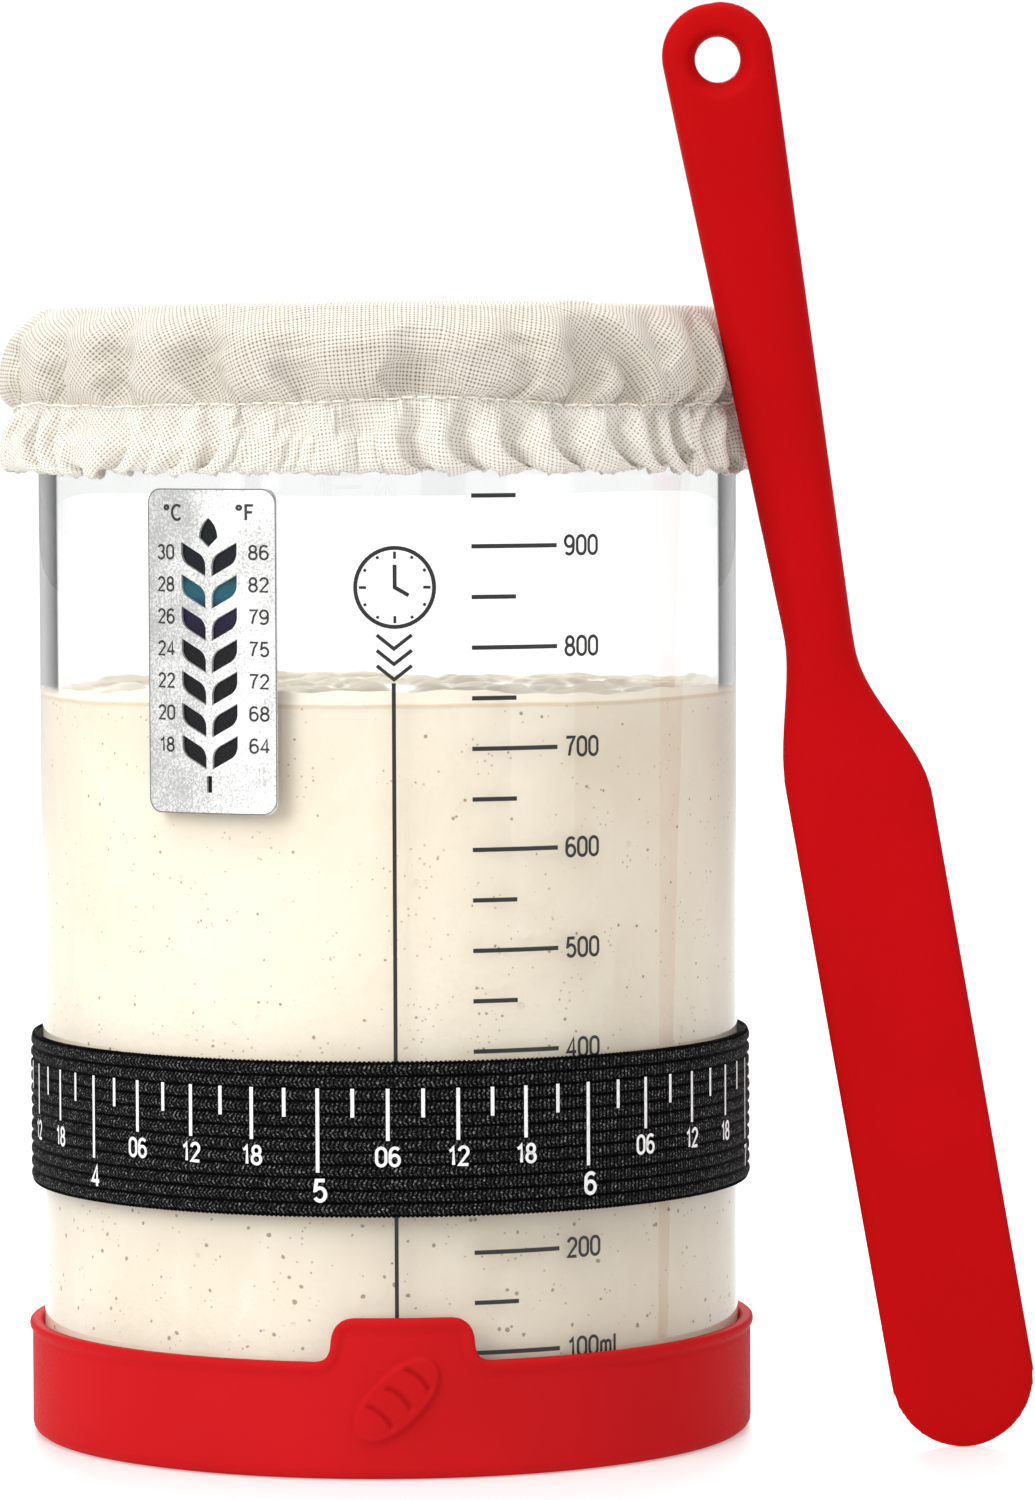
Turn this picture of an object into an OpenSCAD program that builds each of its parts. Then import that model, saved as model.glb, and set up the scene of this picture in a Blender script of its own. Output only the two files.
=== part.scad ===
// Sourdough starter jar: straight-sided glass jar in a silicone base, with a day band, a
// thermometer strip, a screw lid, a gathered linen cover and a silicone spatula leaning on it.
// Millimetres. Origin: centre of the base's underside. +Z up, -Y is the front, +X the spatula.

/* [Glass jar] */
// Outer diameter of the straight glass wall
glass_od = 100; // [90:0.5:112]
// Thickness of the glass wall
glass_wall = 2.1; // [1.8:0.1:2.6]
// Thickness of the glass bottom
glass_floor = 2.6; // [2.2:0.1:4]
// Outer radius where the wall turns into the bottom
heel_r = 5; // [4:0.5:6]
// Height of the shoulder above the table, where the straight wall ends
shoulder_z = 143; // [140:0.5:144]
// Height of the neck, from the shoulder to the rim
neck_h = 16; // [15:0.5:17]
// How far the threaded neck is set in from the wall
neck_in = 3.2; // [2.8:0.1:4]
// Thickness of the neck
neck_wall = 2.9; // [2.7:0.1:3.8]
// How far the middle of the bottom is pushed up
punt_h = 1; // [0.6:0.1:1.4]

/* [Starter] */
// Height of the starter's surface above the table
starter_z = 106.5; // [60:0.5:130]
// How far the starter clings up the glass at its edge
cling_h = 0.9; // [0.2:0.1:2]

/* [Silicone base] */
// Thickness of the silicone wall
base_wall = 1.5; // [1:0.1:1.8]
// Thickness of the silicone floor
base_floor = 1.5; // [1.2:0.1:1.5]
// Height of the rim of the base
base_h = 16.3; // [14:0.1:18]
// How far the rolled lip stands out from the wall
lip_out = 0.3; // [0.2:0.05:0.8]
// Height of the rolled lip
lip_h = 2.8; // [2:0.1:3.5]
// Width of the lip where it follows the tab
lip_band = 1.5; // [1:0.1:2]
// Height of the top of the pointer tab
tab_top = 22.4; // [20:0.1:24]
// Half width of the pointer tab
tab_half = 9.6; // [7:0.1:11]
// Sideways place of the tab's middle, under the pointer line
tab_x = 1.45; // [0:0.05:2]
// Radius of the tab's upper corners
tab_r = 3; // [1:0.1:3]
// Radius of the fillets at the tab's foot
tab_foot_r = 1.5; // [1:0.1:2.5]
// Length of the loaf figure in relief
loaf_l = 14.8; // [10:0.1:16]
// Width of the loaf figure
loaf_w = 7.2; // [6:0.1:9]
// How far the loaf figure stands out
loaf_out = 0.45; // [0.3:0.05:0.7]
// Tilt of the loaf figure from level
loaf_tilt = 46; // [0:1:90]
// Height of the loaf figure's middle
loaf_z = 11.1; // [9:0.1:12]

/* [Day band] */
// Height of the band's lower edge above the table
band_z = 36.5; // [30:0.5:60]
// Width of the band's webbing
band_h = 21; // [16:0.5:24]
// Thickness of the webbing at the crest of a rib
band_t = 1.45; // [1.4:0.05:1.8]
// Depth of the grooves between the ribs
rib_depth = 0.2; // [0.1:0.05:0.25]
// Number of ribs across the webbing
ribs = 12; // [8:1:14]
// Thickness of the rubber core
core_t = 0.3; // [0.2:0.05:0.35]

/* [Thermometer strip] */
// Width of the strip round the glass
strip_w = 20; // [16:0.5:22]
// Height of the strip
strip_h = 44.7; // [40:0.1:46]
// Gap between the strip's upper edge and the hem of the cover
strip_drop = 2.1; // [2:0.1:3]
// Where the strip's middle is, in degrees from the front towards -X
strip_angle = 28.9; // [20:0.1:40]
// Radius of the strip's corners
strip_r = 1.7; // [1:0.1:3]
// Rows of leaf-shaped windows
leaf_rows = 7; // [5:1:7]
// Spacing of the rows
leaf_pitch = 4.42; // [4.3:0.02:4.6]
// Height of one leaf, from its lower point to its upper one
leaf_h = 4.75; // [4.2:0.05:4.8]
// Distance from the stem's middle to a leaf's lower point
leaf_in = 0.47; // [0.4:0.01:0.7]
// Distance from the stem's middle to a leaf's upper point
leaf_out = 4.4; // [4:0.05:4.8]
// Slope of a leaf's long edges, in degrees
leaf_slope = 28; // [25:1:32]
// Radius of a leaf's round corners
leaf_r = 2; // [1.5:0.1:2.2]

/* [Screw lid] */
// How far the lid's skirt is set in from the glass wall
lid_inset = 0.6; // [0.4:0.1:1]
// Thickness of the lid's sheet
lid_t = 0.7; // [0.6:0.05:0.8]
// Height of the skirt's lower edge above the shoulder
skirt_up = 3.8; // [3.6:0.1:6]
// Thickness of the foam liner
liner_t = 1; // [0.8:0.1:1.2]

/* [Linen cover] */
// How far the hem reaches below the shoulder
hem_drop = 4.8; // [4:0.1:5.4]
// How far the gathered hem stands out from the glass wall
hem_out = 3.6; // [3.2:0.1:3.8]
// Number of main folds
folds = 18; // [12:1:18]
// Depth of the folds at the hem
fold_depth = 0.85; // [0.4:0.05:0.9]
// How far the loosely seated cover bulges towards -X
cover_shift = 1.2; // [0:0.1:1.4]

/* [Spatula] */
// Length from tip to end
spat_l = 206.5; // [190:0.5:215]
// Width of the blade
blade_w = 20.3; // [18:0.1:22]
// How far the spatula leans towards the jar, in degrees from upright
spat_lean = 9.95; // [9.5:0.05:10.5]
// How far the blade's tip stands beside the glass wall
spat_reach = 32.3; // [32.2:0.1:36]
// How far the spatula stands in front of the jar's axis
spat_front = 24.5; // [22:0.5:26]
// Thickness of the handle
handle_t = 8.6; // [7:0.1:9]
// Radius of the hanging hole
hang_r = 3.2; // [2.5:0.1:3.4]

/* [Hidden] */

$fn = 180;
glass_r = glass_od / 2;
bore_r = glass_r - glass_wall;
neck_r = glass_r - neck_in;
mouth_r = neck_r - neck_wall;
rim_z = shoulder_z + neck_h;
lid_skirt_z = shoulder_z + skirt_up;
hem_z = shoulder_z - hem_drop;
strip_z = hem_z - strip_drop - strip_h;
// Clearance between curved pieces that slide past each other
slip = 0.3;
// Gap between flat pieces that rest on each other
seat = 0.05;
glass_z = base_floor + seat;
floor_z = glass_z + glass_floor;
base_in = glass_r + slip;
base_out = base_in + base_wall;

function arc(x, y, r, a0, a1, n) =
    [for (i = [0:n]) [x + r * cos(a0 + (a1 - a0) * i / n), y + r * sin(a0 + (a1 - a0) * i / n)]];
function mix(a, b, t) = a + (b - a) * t;
function ease(t) = let (u = min(1, max(0, t))) u * u * (3 - 2 * u);
function between(a, b, s) = ease((s - a) / (b - a));

// A figure drawn flat on the front, pressed through to a ring between two radii
module on_ring(r_in, r_out, angle = 0) {
    rotate([0, 0, -angle]) intersection() {
        translate([0, -r_in * 0.8, 0]) rotate([90, 0, 0]) linear_extrude(r_out) children();
        rotate_extrude() translate([r_in, -1]) square([r_out - r_in, rim_z]);
    }
}

// Silicone base

foot_r = 1.6;
groove_r = base_in * 0.87;
groove_w = 2.4;
groove_d = 0.4;
lip_foot = base_h - lip_h;
lip_crest = base_out + lip_out;
lip_edge_r = 0.45;
// How deep figures on the wall reach into it, so that they join it
root = 0.3;

// The tab leans in a little towards its top, with fillets at its foot
module tab_outline() {
    lean = 0.35;
    foot = tab_half + lean;
    top = tab_half - lean;
    translate([tab_x, 0]) polygon(concat(
        [[-foot - tab_foot_r, lip_foot]],
        arc(-foot - tab_foot_r, base_h + tab_foot_r, tab_foot_r, -90, 0, 8),
        arc(-top + tab_r, tab_top - tab_r, tab_r, 180, 90, 8),
        arc(top - tab_r, tab_top - tab_r, tab_r, 90, 0, 8),
        arc(foot + tab_foot_r, base_h + tab_foot_r, tab_foot_r, 180, 270, 8),
        [[foot + tab_foot_r, lip_foot]]));
}

// The lip where it runs up and over the tab
module tab_lip() {
    difference() {
        tab_outline();
        translate([0, -lip_h]) offset(delta = -lip_band) translate([0, lip_h]) tab_outline();
        translate([tab_x, lip_foot]) square([2 * (tab_half - lip_band), lip_h], center = true);
    }
}

module loaf_oval() {
    blunt = 0.8;
    polygon([for (i = [0:47]) let (a = i * 7.5)
        [loaf_l / 2 * sign(cos(a)) * pow(abs(cos(a)), blunt), loaf_w / 2 * sin(a)]]);
}

// A slash across the loaf: a crescent that bows towards the loaf's upper end
module loaf_slash() {
    bow = loaf_w * 0.52;
    wide = 0.75;
    intersection() {
        difference() {
            circle(bow, $fn = 64);
            translate([-wide, 0]) circle(bow, $fn = 64);
        }
        translate([0, -loaf_w * 0.32]) square([loaf_w, loaf_w * 0.64]);
    }
}

module loaf_figure() {
    pitch = loaf_l * 0.24;
    translate([0.55, loaf_z]) rotate(loaf_tilt) difference() {
        loaf_oval();
        for (k = [-1:1]) translate([k * pitch - loaf_w * 0.3, 0]) loaf_slash();
    }
}

module base_cup() {
    rotate_extrude() polygon(concat(
        [[0, 0]],
        // Anti-slip groove in the underside
        [[groove_r - groove_w / 2, 0]],
        [[groove_r - groove_w / 2 + groove_d, groove_d]],
        [[groove_r + groove_w / 2 - groove_d, groove_d]],
        [[groove_r + groove_w / 2, 0]],
        arc(base_out - foot_r, foot_r, foot_r, -90, 0, 6),
        [[base_out, lip_foot]],
        [[lip_crest - lip_out * 0.3, lip_foot + lip_h * 0.25]],
        [[lip_crest, lip_foot + lip_h * 0.5]],
        arc(lip_crest - lip_edge_r * 2, base_h - lip_edge_r * 2, lip_edge_r * 2, 0, 90, 6),
        arc(base_in + lip_edge_r, base_h - lip_edge_r, lip_edge_r, 90, 180, 4),
        [[base_in, base_floor + heel_r]],
        arc(base_in - heel_r, base_floor + heel_r, heel_r, 0, -90, 8),
        [[0, base_floor]]));
}

module silicone_base() {
    color("firebrick") {
        difference() {
            base_cup();
            // The lip leaves its level here and follows the tab
            on_ring(base_out, lip_crest + lip_out) translate([tab_x, base_h])
                square([2 * tab_half, 2 * lip_h + lip_out], center = true);
        }
        on_ring(base_in, base_out) tab_outline();
        on_ring(base_out - root, lip_crest) tab_lip();
        on_ring(base_out - root, base_out + loaf_out) loaf_figure();
    }
}

// Glass jar

rim_r = 1.2;
shoulder_r = 2.6;
stand_r = glass_r - 9;
bead_r = 0.8;
mouth_corner_r = 3;
bottom_corner_r = 4;

module glass_jar() {
    neck_in_z = shoulder_z - 1;
    color("lightblue", 0.4) rotate_extrude() polygon(concat(
        [[0, glass_z + punt_h]],
        [[stand_r * 0.6, glass_z + punt_h * 0.72]],
        [[stand_r, glass_z]],
        arc(glass_r - heel_r, glass_z + heel_r, heel_r, -90, 0, 10),
        arc(glass_r - shoulder_r, shoulder_z - shoulder_r, shoulder_r, 0, 75, 8),
        arc(neck_r + 1, shoulder_z + 1.2, 1, -105, -180, 5),
        // Transfer bead under the thread
        arc(neck_r, shoulder_z + 3.4, bead_r, -90, 90, 6),
        arc(neck_r - rim_r, rim_z - rim_r, rim_r, 0, 90, 6),
        arc(mouth_r + rim_r, rim_z - rim_r, rim_r, 90, 180, 6),
        [[mouth_r, neck_in_z + 2.4]],
        arc(bore_r - mouth_corner_r, neck_in_z - mouth_corner_r - 0.4, mouth_corner_r, 60, 0, 6),
        arc(bore_r - bottom_corner_r, floor_z + bottom_corner_r, bottom_corner_r, 0, -90, 8),
        [[0, floor_z + punt_h * 0.6]]));
}

module starter_dough() {
    gap = 0.05;
    r = bore_r - gap;
    color("wheat") rotate_extrude() polygon(concat(
        [[0, floor_z + punt_h * 0.6 + gap]],
        arc(r - bottom_corner_r, floor_z + bottom_corner_r + gap, bottom_corner_r, -90, 0, 8),
        [[r, starter_z + cling_h]],
        [[r - 0.5, starter_z + cling_h * 0.9]],
        [[r - 1.6, starter_z + cling_h * 0.3]],
        [[r - 4, starter_z]],
        [[r * 0.5, starter_z + 0.2]],
        [[0, starter_z + 0.3]]));
}

// Thermometer strip: adhesive pad, crystal sheet and printed face with windows

pad_t = 0.2;
crystal_t = 0.28;
face_t = 0.5;
skin = 0.02;
strip_mid = strip_z + strip_h / 2;
leaf_foot = strip_z + strip_h * 0.19;
bud_l = leaf_pitch * 0.92;
bud_w = bud_l * 0.72;
stem_l = leaf_pitch * 0.52;
stem_w = leaf_in * 1.7;
pad_r = glass_r + skin;
crystal_r = pad_r + pad_t + skin;
face_r = crystal_r + crystal_t + skin;

module round_rect(w, h, r) {
    square([w - 2 * r, h], center = true);
    square([w, h - 2 * r], center = true);
    for (x = [-1, 1], y = [-1, 1])
        translate([x * (w / 2 - r), y * (h / 2 - r)]) circle(r, $fn = 32);
}

module strip_outline(inset) {
    translate([0, strip_mid]) round_rect(strip_w - 2 * inset, strip_h - 2 * inset, strip_r);
}

// A leaf beside the stem: pointed at its lower inner and upper outer ends, round at the others
module leaf() {
    wide = leaf_out - leaf_in;
    bend = leaf_h / 2 - leaf_r * cos(leaf_slope) - (wide - leaf_r * (1 - sin(leaf_slope))) * tan(leaf_slope);
    edge = concat([[-wide / 2, -leaf_h / 2]],
        arc(leaf_r - wide / 2, bend, leaf_r, 180, 90 + leaf_slope, 8));
    translate([leaf_in + wide / 2, 0]) polygon(concat(edge, -edge));
}

// The bud on the stem's end: a blunt foot and long curved sides that meet in a point
module bud() {
    foot = bud_l * 0.33;
    r = (pow(bud_l - foot, 2) + pow(bud_w / 2, 2)) / bud_w;
    side = arc(bud_w / 2 - r, 0, r, 0, asin((bud_l - foot) / r), 8);
    translate([0, foot - bud_l / 2])
        polygon(concat([[0, -foot]], side, [for (i = [7:-1:0]) [-side[i][0], side[i][1]]]));
}

module leaf_windows() {
    for (k = [0:leaf_rows - 1], turned = [0, 1])
        translate([0, leaf_foot + k * leaf_pitch]) mirror([turned, 0]) leaf();
    translate([0, leaf_foot + (leaf_rows - 0.17) * leaf_pitch]) bud();
    translate([0, leaf_foot - leaf_pitch]) square([stem_w, stem_l], center = true);
}

module thermometer_adhesive() {
    color("white") on_ring(pad_r, pad_r + pad_t, strip_angle) strip_outline(0.4);
}

module thermometer_crystals() {
    color("black") on_ring(crystal_r, crystal_r + crystal_t, strip_angle) strip_outline(0.2);
}

module thermometer_face() {
    color("silver") on_ring(face_r, face_r + face_t, strip_angle) difference() {
        strip_outline(0);
        leaf_windows();
    }
}

// Day band: rubber core sealed inside ribbed webbing

band_in = glass_r + slip;
band_out = band_in + band_t;
core_gap = 0.25;
core_r = band_in + core_gap * 2;
core_edge = 1.4;
core_lift = 0.3;
rib_pitch = band_h / ribs;

module band_rubber_core() {
    color("dimgray") translate([0, 0, band_z + core_edge + core_lift]) rotate_extrude()
        translate([core_r, 0]) square([core_t, band_h - 2 * core_edge - 2 * core_lift]);
}

module band_webbing() {
    steps = 6;
    wave = [for (i = [0:ribs * steps]) let (t = i / steps)
        [band_out - rib_depth * pow(abs(cos(180 * t)), 3), t * rib_pitch]];
    color("black") translate([0, 0, band_z]) rotate_extrude() difference() {
        polygon(concat([[band_in, 0]], wave, [[band_in, band_h]]));
        translate([core_r - core_gap, core_edge])
            square([core_t + 2 * core_gap, band_h - 2 * core_edge]);
    }
}

// Screw lid: foam liner and aluminium shell

liner_z = rim_z + seat;
lid_r = glass_r - lid_inset;
lid_in = lid_r - lid_t;
lid_top = liner_z + liner_t + seat + lid_t;
lid_edge_r = 1.6;
curl_r = 0.6;
curl_turn = 230;

module lid_liner() {
    color("white") translate([0, 0, liner_z]) cylinder(h = liner_t, r = lid_r - lid_edge_r - slip);
}

module lid_shell() {
    curl_z = lid_skirt_z + curl_r;
    color("silver") rotate_extrude() polygon(concat(
        [[0, lid_top]],
        [[lid_r * 0.86, lid_top]],
        [[lid_r * 0.875, lid_top - 0.25]],
        [[lid_r * 0.91, lid_top - 0.25]],
        [[lid_r * 0.925, lid_top]],
        arc(lid_r - lid_edge_r, lid_top - lid_edge_r, lid_edge_r, 90, 0, 8),
        // Curled edge of the skirt
        arc(lid_r - curl_r, curl_z, curl_r, 0, -curl_turn, 12),
        [[lid_in, curl_z + curl_r]],
        arc(lid_r - lid_edge_r, lid_top - lid_edge_r, lid_edge_r - lid_t, 0, 90, 6),
        [[0, lid_top - lid_t]]));
}

// Linen cover: gathered shell whose folds follow a formula, and the elastic in its hem

cloth_t = 0.9;
cover_top = lid_top + slip + cloth_t;
stitch_z = hem_z + 9.6;
elastic_t = 0.25;
elastic_h = 5;
cloth_in = glass_r + slip + seat;
hem_r = glass_r + hem_out;
columns = folds * 4;

// Each ring: radius, height, share of the fold depth, share of the bulge towards -X
outer_rings = [
    [glass_r * 0.44, cover_top + 0.1, 0, 0.3],
    [glass_r * 0.9, cover_top - 0.1, 0.1, 0.6],
    [glass_r + 0.6, cover_top - 1.2, 0.2, 0.4],
    [glass_r + 2.8, cover_top - 4, 0.4, 0.7],
    [glass_r + 2.9, cover_top - 8, 0.6, 1],
    [glass_r + 2.8, stitch_z + 2.6, 0.75, 1],
    [glass_r + 2.2, stitch_z, 0.3, 1],
    [hem_r - 0.3, stitch_z - 4.2, 0.9, 1],
    [hem_r, hem_z + 1.8, 1, 1],
    [hem_r - 1.3, hem_z, 0.7, 0.8]];
inner_rings = [
    [cloth_in + 0.3, hem_z + 0.9, 0, 0],
    [cloth_in + 0.3, stitch_z - 1, 0, 0],
    [cloth_in, stitch_z, 0, 0],
    [cloth_in, cover_top - cloth_t - 1.6, 0, 0],
    [cloth_in - 2, cover_top - cloth_t, 0, 0]];
cloth_rings = concat(outer_rings, inner_rings);

// Folds of uneven depth and lean, the deeper ones near the hem
function fold(c, share, z) =
    let (a = 360 * c / columns, drift = 3 * sin(2 * a + 40) * (z - hem_z) / 24)
    share * fold_depth * (sin(folds * (a + drift)) * (0.75 + 0.25 * sin(5 * a + 20))
        + 0.2 * sin(7 * a));
function hem_dip(c, share, z) =
    z < stitch_z - 5 ? share * 0.5 * sin(360 * folds * c / columns + 60) : 0;

module cover_cloth() {
    n = len(cloth_rings);
    top_out = n * columns;
    top_in = top_out + 1;
    points = concat(
        [for (ring = cloth_rings) for (c = [0:columns - 1])
            let (a = 360 * c / columns, r = ring[0] + fold(c, ring[2], ring[1]))
            [r * cos(a) - cover_shift * ring[3], r * sin(a),
                ring[1] + hem_dip(c, ring[2], ring[1])]],
        [[0, 0, cover_top + 0.2], [0, 0, cover_top - cloth_t]]);
    faces = concat(
        [for (i = [0:n - 2]) for (c = [0:columns - 1]) let (d = (c + 1) % columns)
            [i * columns + c, i * columns + d, (i + 1) * columns + c]],
        [for (i = [0:n - 2]) for (c = [0:columns - 1]) let (d = (c + 1) % columns)
            [i * columns + d, (i + 1) * columns + d, (i + 1) * columns + c]],
        [for (c = [0:columns - 1]) [top_out, (c + 1) % columns, c]],
        [for (c = [0:columns - 1])
            [top_in, (n - 1) * columns + c, (n - 1) * columns + (c + 1) % columns]]);
    color("linen") polyhedron(points, faces);
}

module cover_elastic() {
    color("ivory") translate([0, 0, hem_z + 2.4]) rotate_extrude()
        translate([cloth_in - seat / 2, 0]) square([elastic_t, elastic_h]);
}

// Spatula: lofted silicone body round a stiff core

blade_half = blade_w / 2;
// Where the blade starts to narrow, and where the handle starts
shoulder_s = spat_l * 0.455;
handle_s = spat_l * 0.562;
thicken_s = shoulder_s - 10;
tip_t = 2.2;
blade_t = 4.6;
end_t = 3.4;
end_r = 7.7;
end_s = spat_l - end_r;
hang_s = end_s - 0.3;
hang_x = -1.6;
// The handle's half widths where it starts, left and right of the blade's axis, and what they gain
left_start = 6.55;
left_gain = 2.75;
right_start = 3;
right_gain = 3.2;

// Half widths left and right of the blade's axis, at a distance s from the tip
function tip_half(s) = s < blade_half ? sqrt(pow(blade_half, 2) - pow(blade_half - s, 2)) : blade_half;
function end_cut(s) = s < end_s ? 0 : end_r - sqrt(max(0, pow(end_r, 2) - pow(s - end_s, 2)));
function handle_grow(s) = max(0, s - handle_s) / (end_s - handle_s);
function left_w(s) = s < shoulder_s ? tip_half(s)
    : mix(blade_half, left_start, between(shoulder_s + 2, handle_s + 2, s))
        + left_gain * handle_grow(s) - end_cut(s);
function right_w(s) = s < shoulder_s - 2 ? tip_half(s)
    : mix(blade_half, right_start, between(shoulder_s - 2, handle_s - 2, s))
        + right_gain * handle_grow(s) - end_cut(s);
function thick(s) =
    mix(mix(tip_t, blade_t, between(0, shoulder_s - 4, s)), handle_t, between(thicken_s, handle_s + 6, s))
    - end_t * between(end_s - 2 * end_r, spat_l, s);
// Round handle, flatter blade
function corner(s) = mix(0.75, 0.9, between(thicken_s, handle_s, s));

section_sides = 24;
stations = concat(
    [for (i = [0:7]) blade_half * (1 - cos(6 + i * 12))],
    [for (i = [1:7]) mix(blade_half, shoulder_s - 4, i / 7)],
    [for (i = [1:12]) mix(shoulder_s - 4, handle_s + 4, i / 12)],
    [for (i = [1:8]) mix(handle_s + 4, end_s, i / 8)],
    [for (i = [1:6]) end_s + end_r * sin(i * 14)]);

function section(s) = let (l = left_w(s), r = right_w(s), t = thick(s), p = corner(s))
    [for (k = [0:section_sides - 1]) let (a = 360 * k / section_sides, x = cos(a), y = sin(a))
        [(r - l) / 2 + (l + r) / 2 * sign(x) * pow(abs(x), p), t / 2 * sign(y) * pow(abs(y), p), s]];

module spatula_loft() {
    n = len(stations);
    m = section_sides;
    points = [for (s = stations) each section(s)];
    faces = concat(
        [[for (k = [0:m - 1]) k]],
        [for (i = [0:n - 2]) for (k = [0:m - 1]) let (j = (k + 1) % m)
            [i * m + k, (i + 1) * m + k, i * m + j]],
        [for (i = [0:n - 2]) for (k = [0:m - 1]) let (j = (k + 1) % m)
            [i * m + j, (i + 1) * m + k, (i + 1) * m + j]],
        [[for (k = [m - 1:-1:0]) (n - 1) * m + k]]);
    polyhedron(points, faces);
}

// The core's place and size inside the handle, grown all round to make its seat
core_w = 4;
core_bar_t = 2.2;
core_x = (right_start - left_start) / 2;
core_from = handle_s - 12;
core_to = hang_s - hang_r - 7.3;

module core_bar(grow) {
    w = core_w + 2 * grow;
    t = core_bar_t + 2 * grow;
    translate([core_x - w / 2, -t / 2, core_from - grow]) cube([w, t, core_to - core_from + 2 * grow]);
}

module spatula_place() {
    rise = blade_half * (1 - cos(spat_lean));
    translate([glass_r + spat_reach, -spat_front, rise]) rotate([0, -spat_lean, 0]) children();
}

module spatula_silicone() {
    dish = 1.3;
    color("red") spatula_place() difference() {
        spatula_loft();
        core_bar(seat);
        translate([hang_x, 0, hang_s]) rotate([90, 0, 0]) {
            cylinder(h = 2 * handle_t, r = hang_r, center = true, $fn = 64);
            for (side = [0, 180]) rotate([side, 0, 0]) translate([0, 0, thick(hang_s) / 2 - dish])
                cylinder(h = 2 * dish, r1 = hang_r, r2 = hang_r + 2 * dish, $fn = 64);
        }
    }
}

module spatula_core() {
    color("gray") spatula_place() core_bar(0);
}

silicone_base();
glass_jar();
starter_dough();
thermometer_adhesive();
thermometer_crystals();
thermometer_face();
band_rubber_core();
band_webbing();
lid_liner();
lid_shell();
cover_cloth();
cover_elastic();
spatula_silicone();
spatula_core();
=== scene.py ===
# %% [markdown]
# # Dressing a sourdough starter jar
# The CAD model of this jar is exact and bare: glass, silicone base, day band, thermometer
# strip, lid, linen cover and a spatula. This notebook loads it as a fixed frame and gives each
# piece the surface that the real one has. Lengths are typed in millimetres, as a maker
# measures them, and turned into Blender's metres at the last moment.

import math

import bpy
import numpy as np
from mathutils import Matrix, Vector


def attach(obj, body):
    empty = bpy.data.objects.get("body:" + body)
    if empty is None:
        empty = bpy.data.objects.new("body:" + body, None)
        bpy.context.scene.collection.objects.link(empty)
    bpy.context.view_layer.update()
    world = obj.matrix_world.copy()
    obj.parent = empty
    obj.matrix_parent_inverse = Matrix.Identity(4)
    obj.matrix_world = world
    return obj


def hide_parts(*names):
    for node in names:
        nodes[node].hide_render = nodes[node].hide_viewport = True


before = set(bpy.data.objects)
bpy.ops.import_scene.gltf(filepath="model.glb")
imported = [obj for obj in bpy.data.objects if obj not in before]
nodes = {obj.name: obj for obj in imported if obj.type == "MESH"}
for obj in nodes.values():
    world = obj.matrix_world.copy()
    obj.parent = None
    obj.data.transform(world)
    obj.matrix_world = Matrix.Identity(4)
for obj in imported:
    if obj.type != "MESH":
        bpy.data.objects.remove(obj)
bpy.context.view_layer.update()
MM = 0.001
print("frame loaded with", len(nodes), "nodes")

# %% [markdown]
# ## The camera
# The picture was taken from nearly a metre away with a long lens, a little above the jar's
# middle, so the jar shows hardly any perspective and the base's rim is a flat curve.

# %% The camera
EYE = (0, -992.71, 150.92)
YAW, PITCH, ROLL = 1.068, 3.074, -0.243


def turn(degrees, axis):
    return Matrix.Rotation(math.radians(degrees), 4, axis)


lens = bpy.data.cameras.new("photo_lens")
lens.lens, lens.sensor_width = 165.73, 36
lens.clip_start, lens.clip_end = 0.05, 30
camera = bpy.data.objects.new("photo_camera", lens)
camera.matrix_world = (Matrix.Translation([c * MM for c in EYE])
                       @ turn(-YAW, "Z") @ turn(90 - PITCH, "X") @ turn(ROLL, "Z"))
bpy.context.scene.collection.objects.link(camera)
bpy.context.scene.camera = camera
bpy.context.scene.view_settings.view_transform = "Standard"
print("camera", round(-EYE[1]), "mm in front of the jar")

# %% [markdown]
# ## Shader arithmetic
# A procedural material is a formula over the surface. Blender stores it as nodes, which are
# tedious to wire by hand. `Wire` wraps one output of a node, so that `1 - mask * 0.5` adds the
# Math nodes by itself, and `Finish` is one material with a single method that adds any node.

# %% Wire and Finish
class Wire:
    """One output of a shader node. Arithmetic on it adds Math nodes."""

    def __init__(self, finish, socket):
        self.finish, self.socket = finish, socket

    def math(self, operation, *values):
        return self.finish.add("Math", {"operation": operation}, [self, *values])

    def __rsub__(self, other):
        return self.finish.add("Math", {"operation": "SUBTRACT"}, [other, self])

    def step(self, low, high, a=0.0, b=1.0):
        """a below low, b above high, and smooth between them."""
        settings = {"interpolation_type": "SMOOTHSTEP", "clamp": True}
        return self.finish.add("MapRange", settings, [self, low, high, a, b])


for sign, operation in (("add", "ADD"), ("radd", "ADD"), ("sub", "SUBTRACT"), ("mul", "MULTIPLY"),
                        ("rmul", "MULTIPLY"), ("truediv", "DIVIDE"), ("pow", "POWER"),
                        ("gt", "GREATER_THAN"), ("abs", "ABSOLUTE")):
    setattr(Wire, f"__{sign}__", lambda self, *other, kind=operation: self.math(kind, *other))


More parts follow.
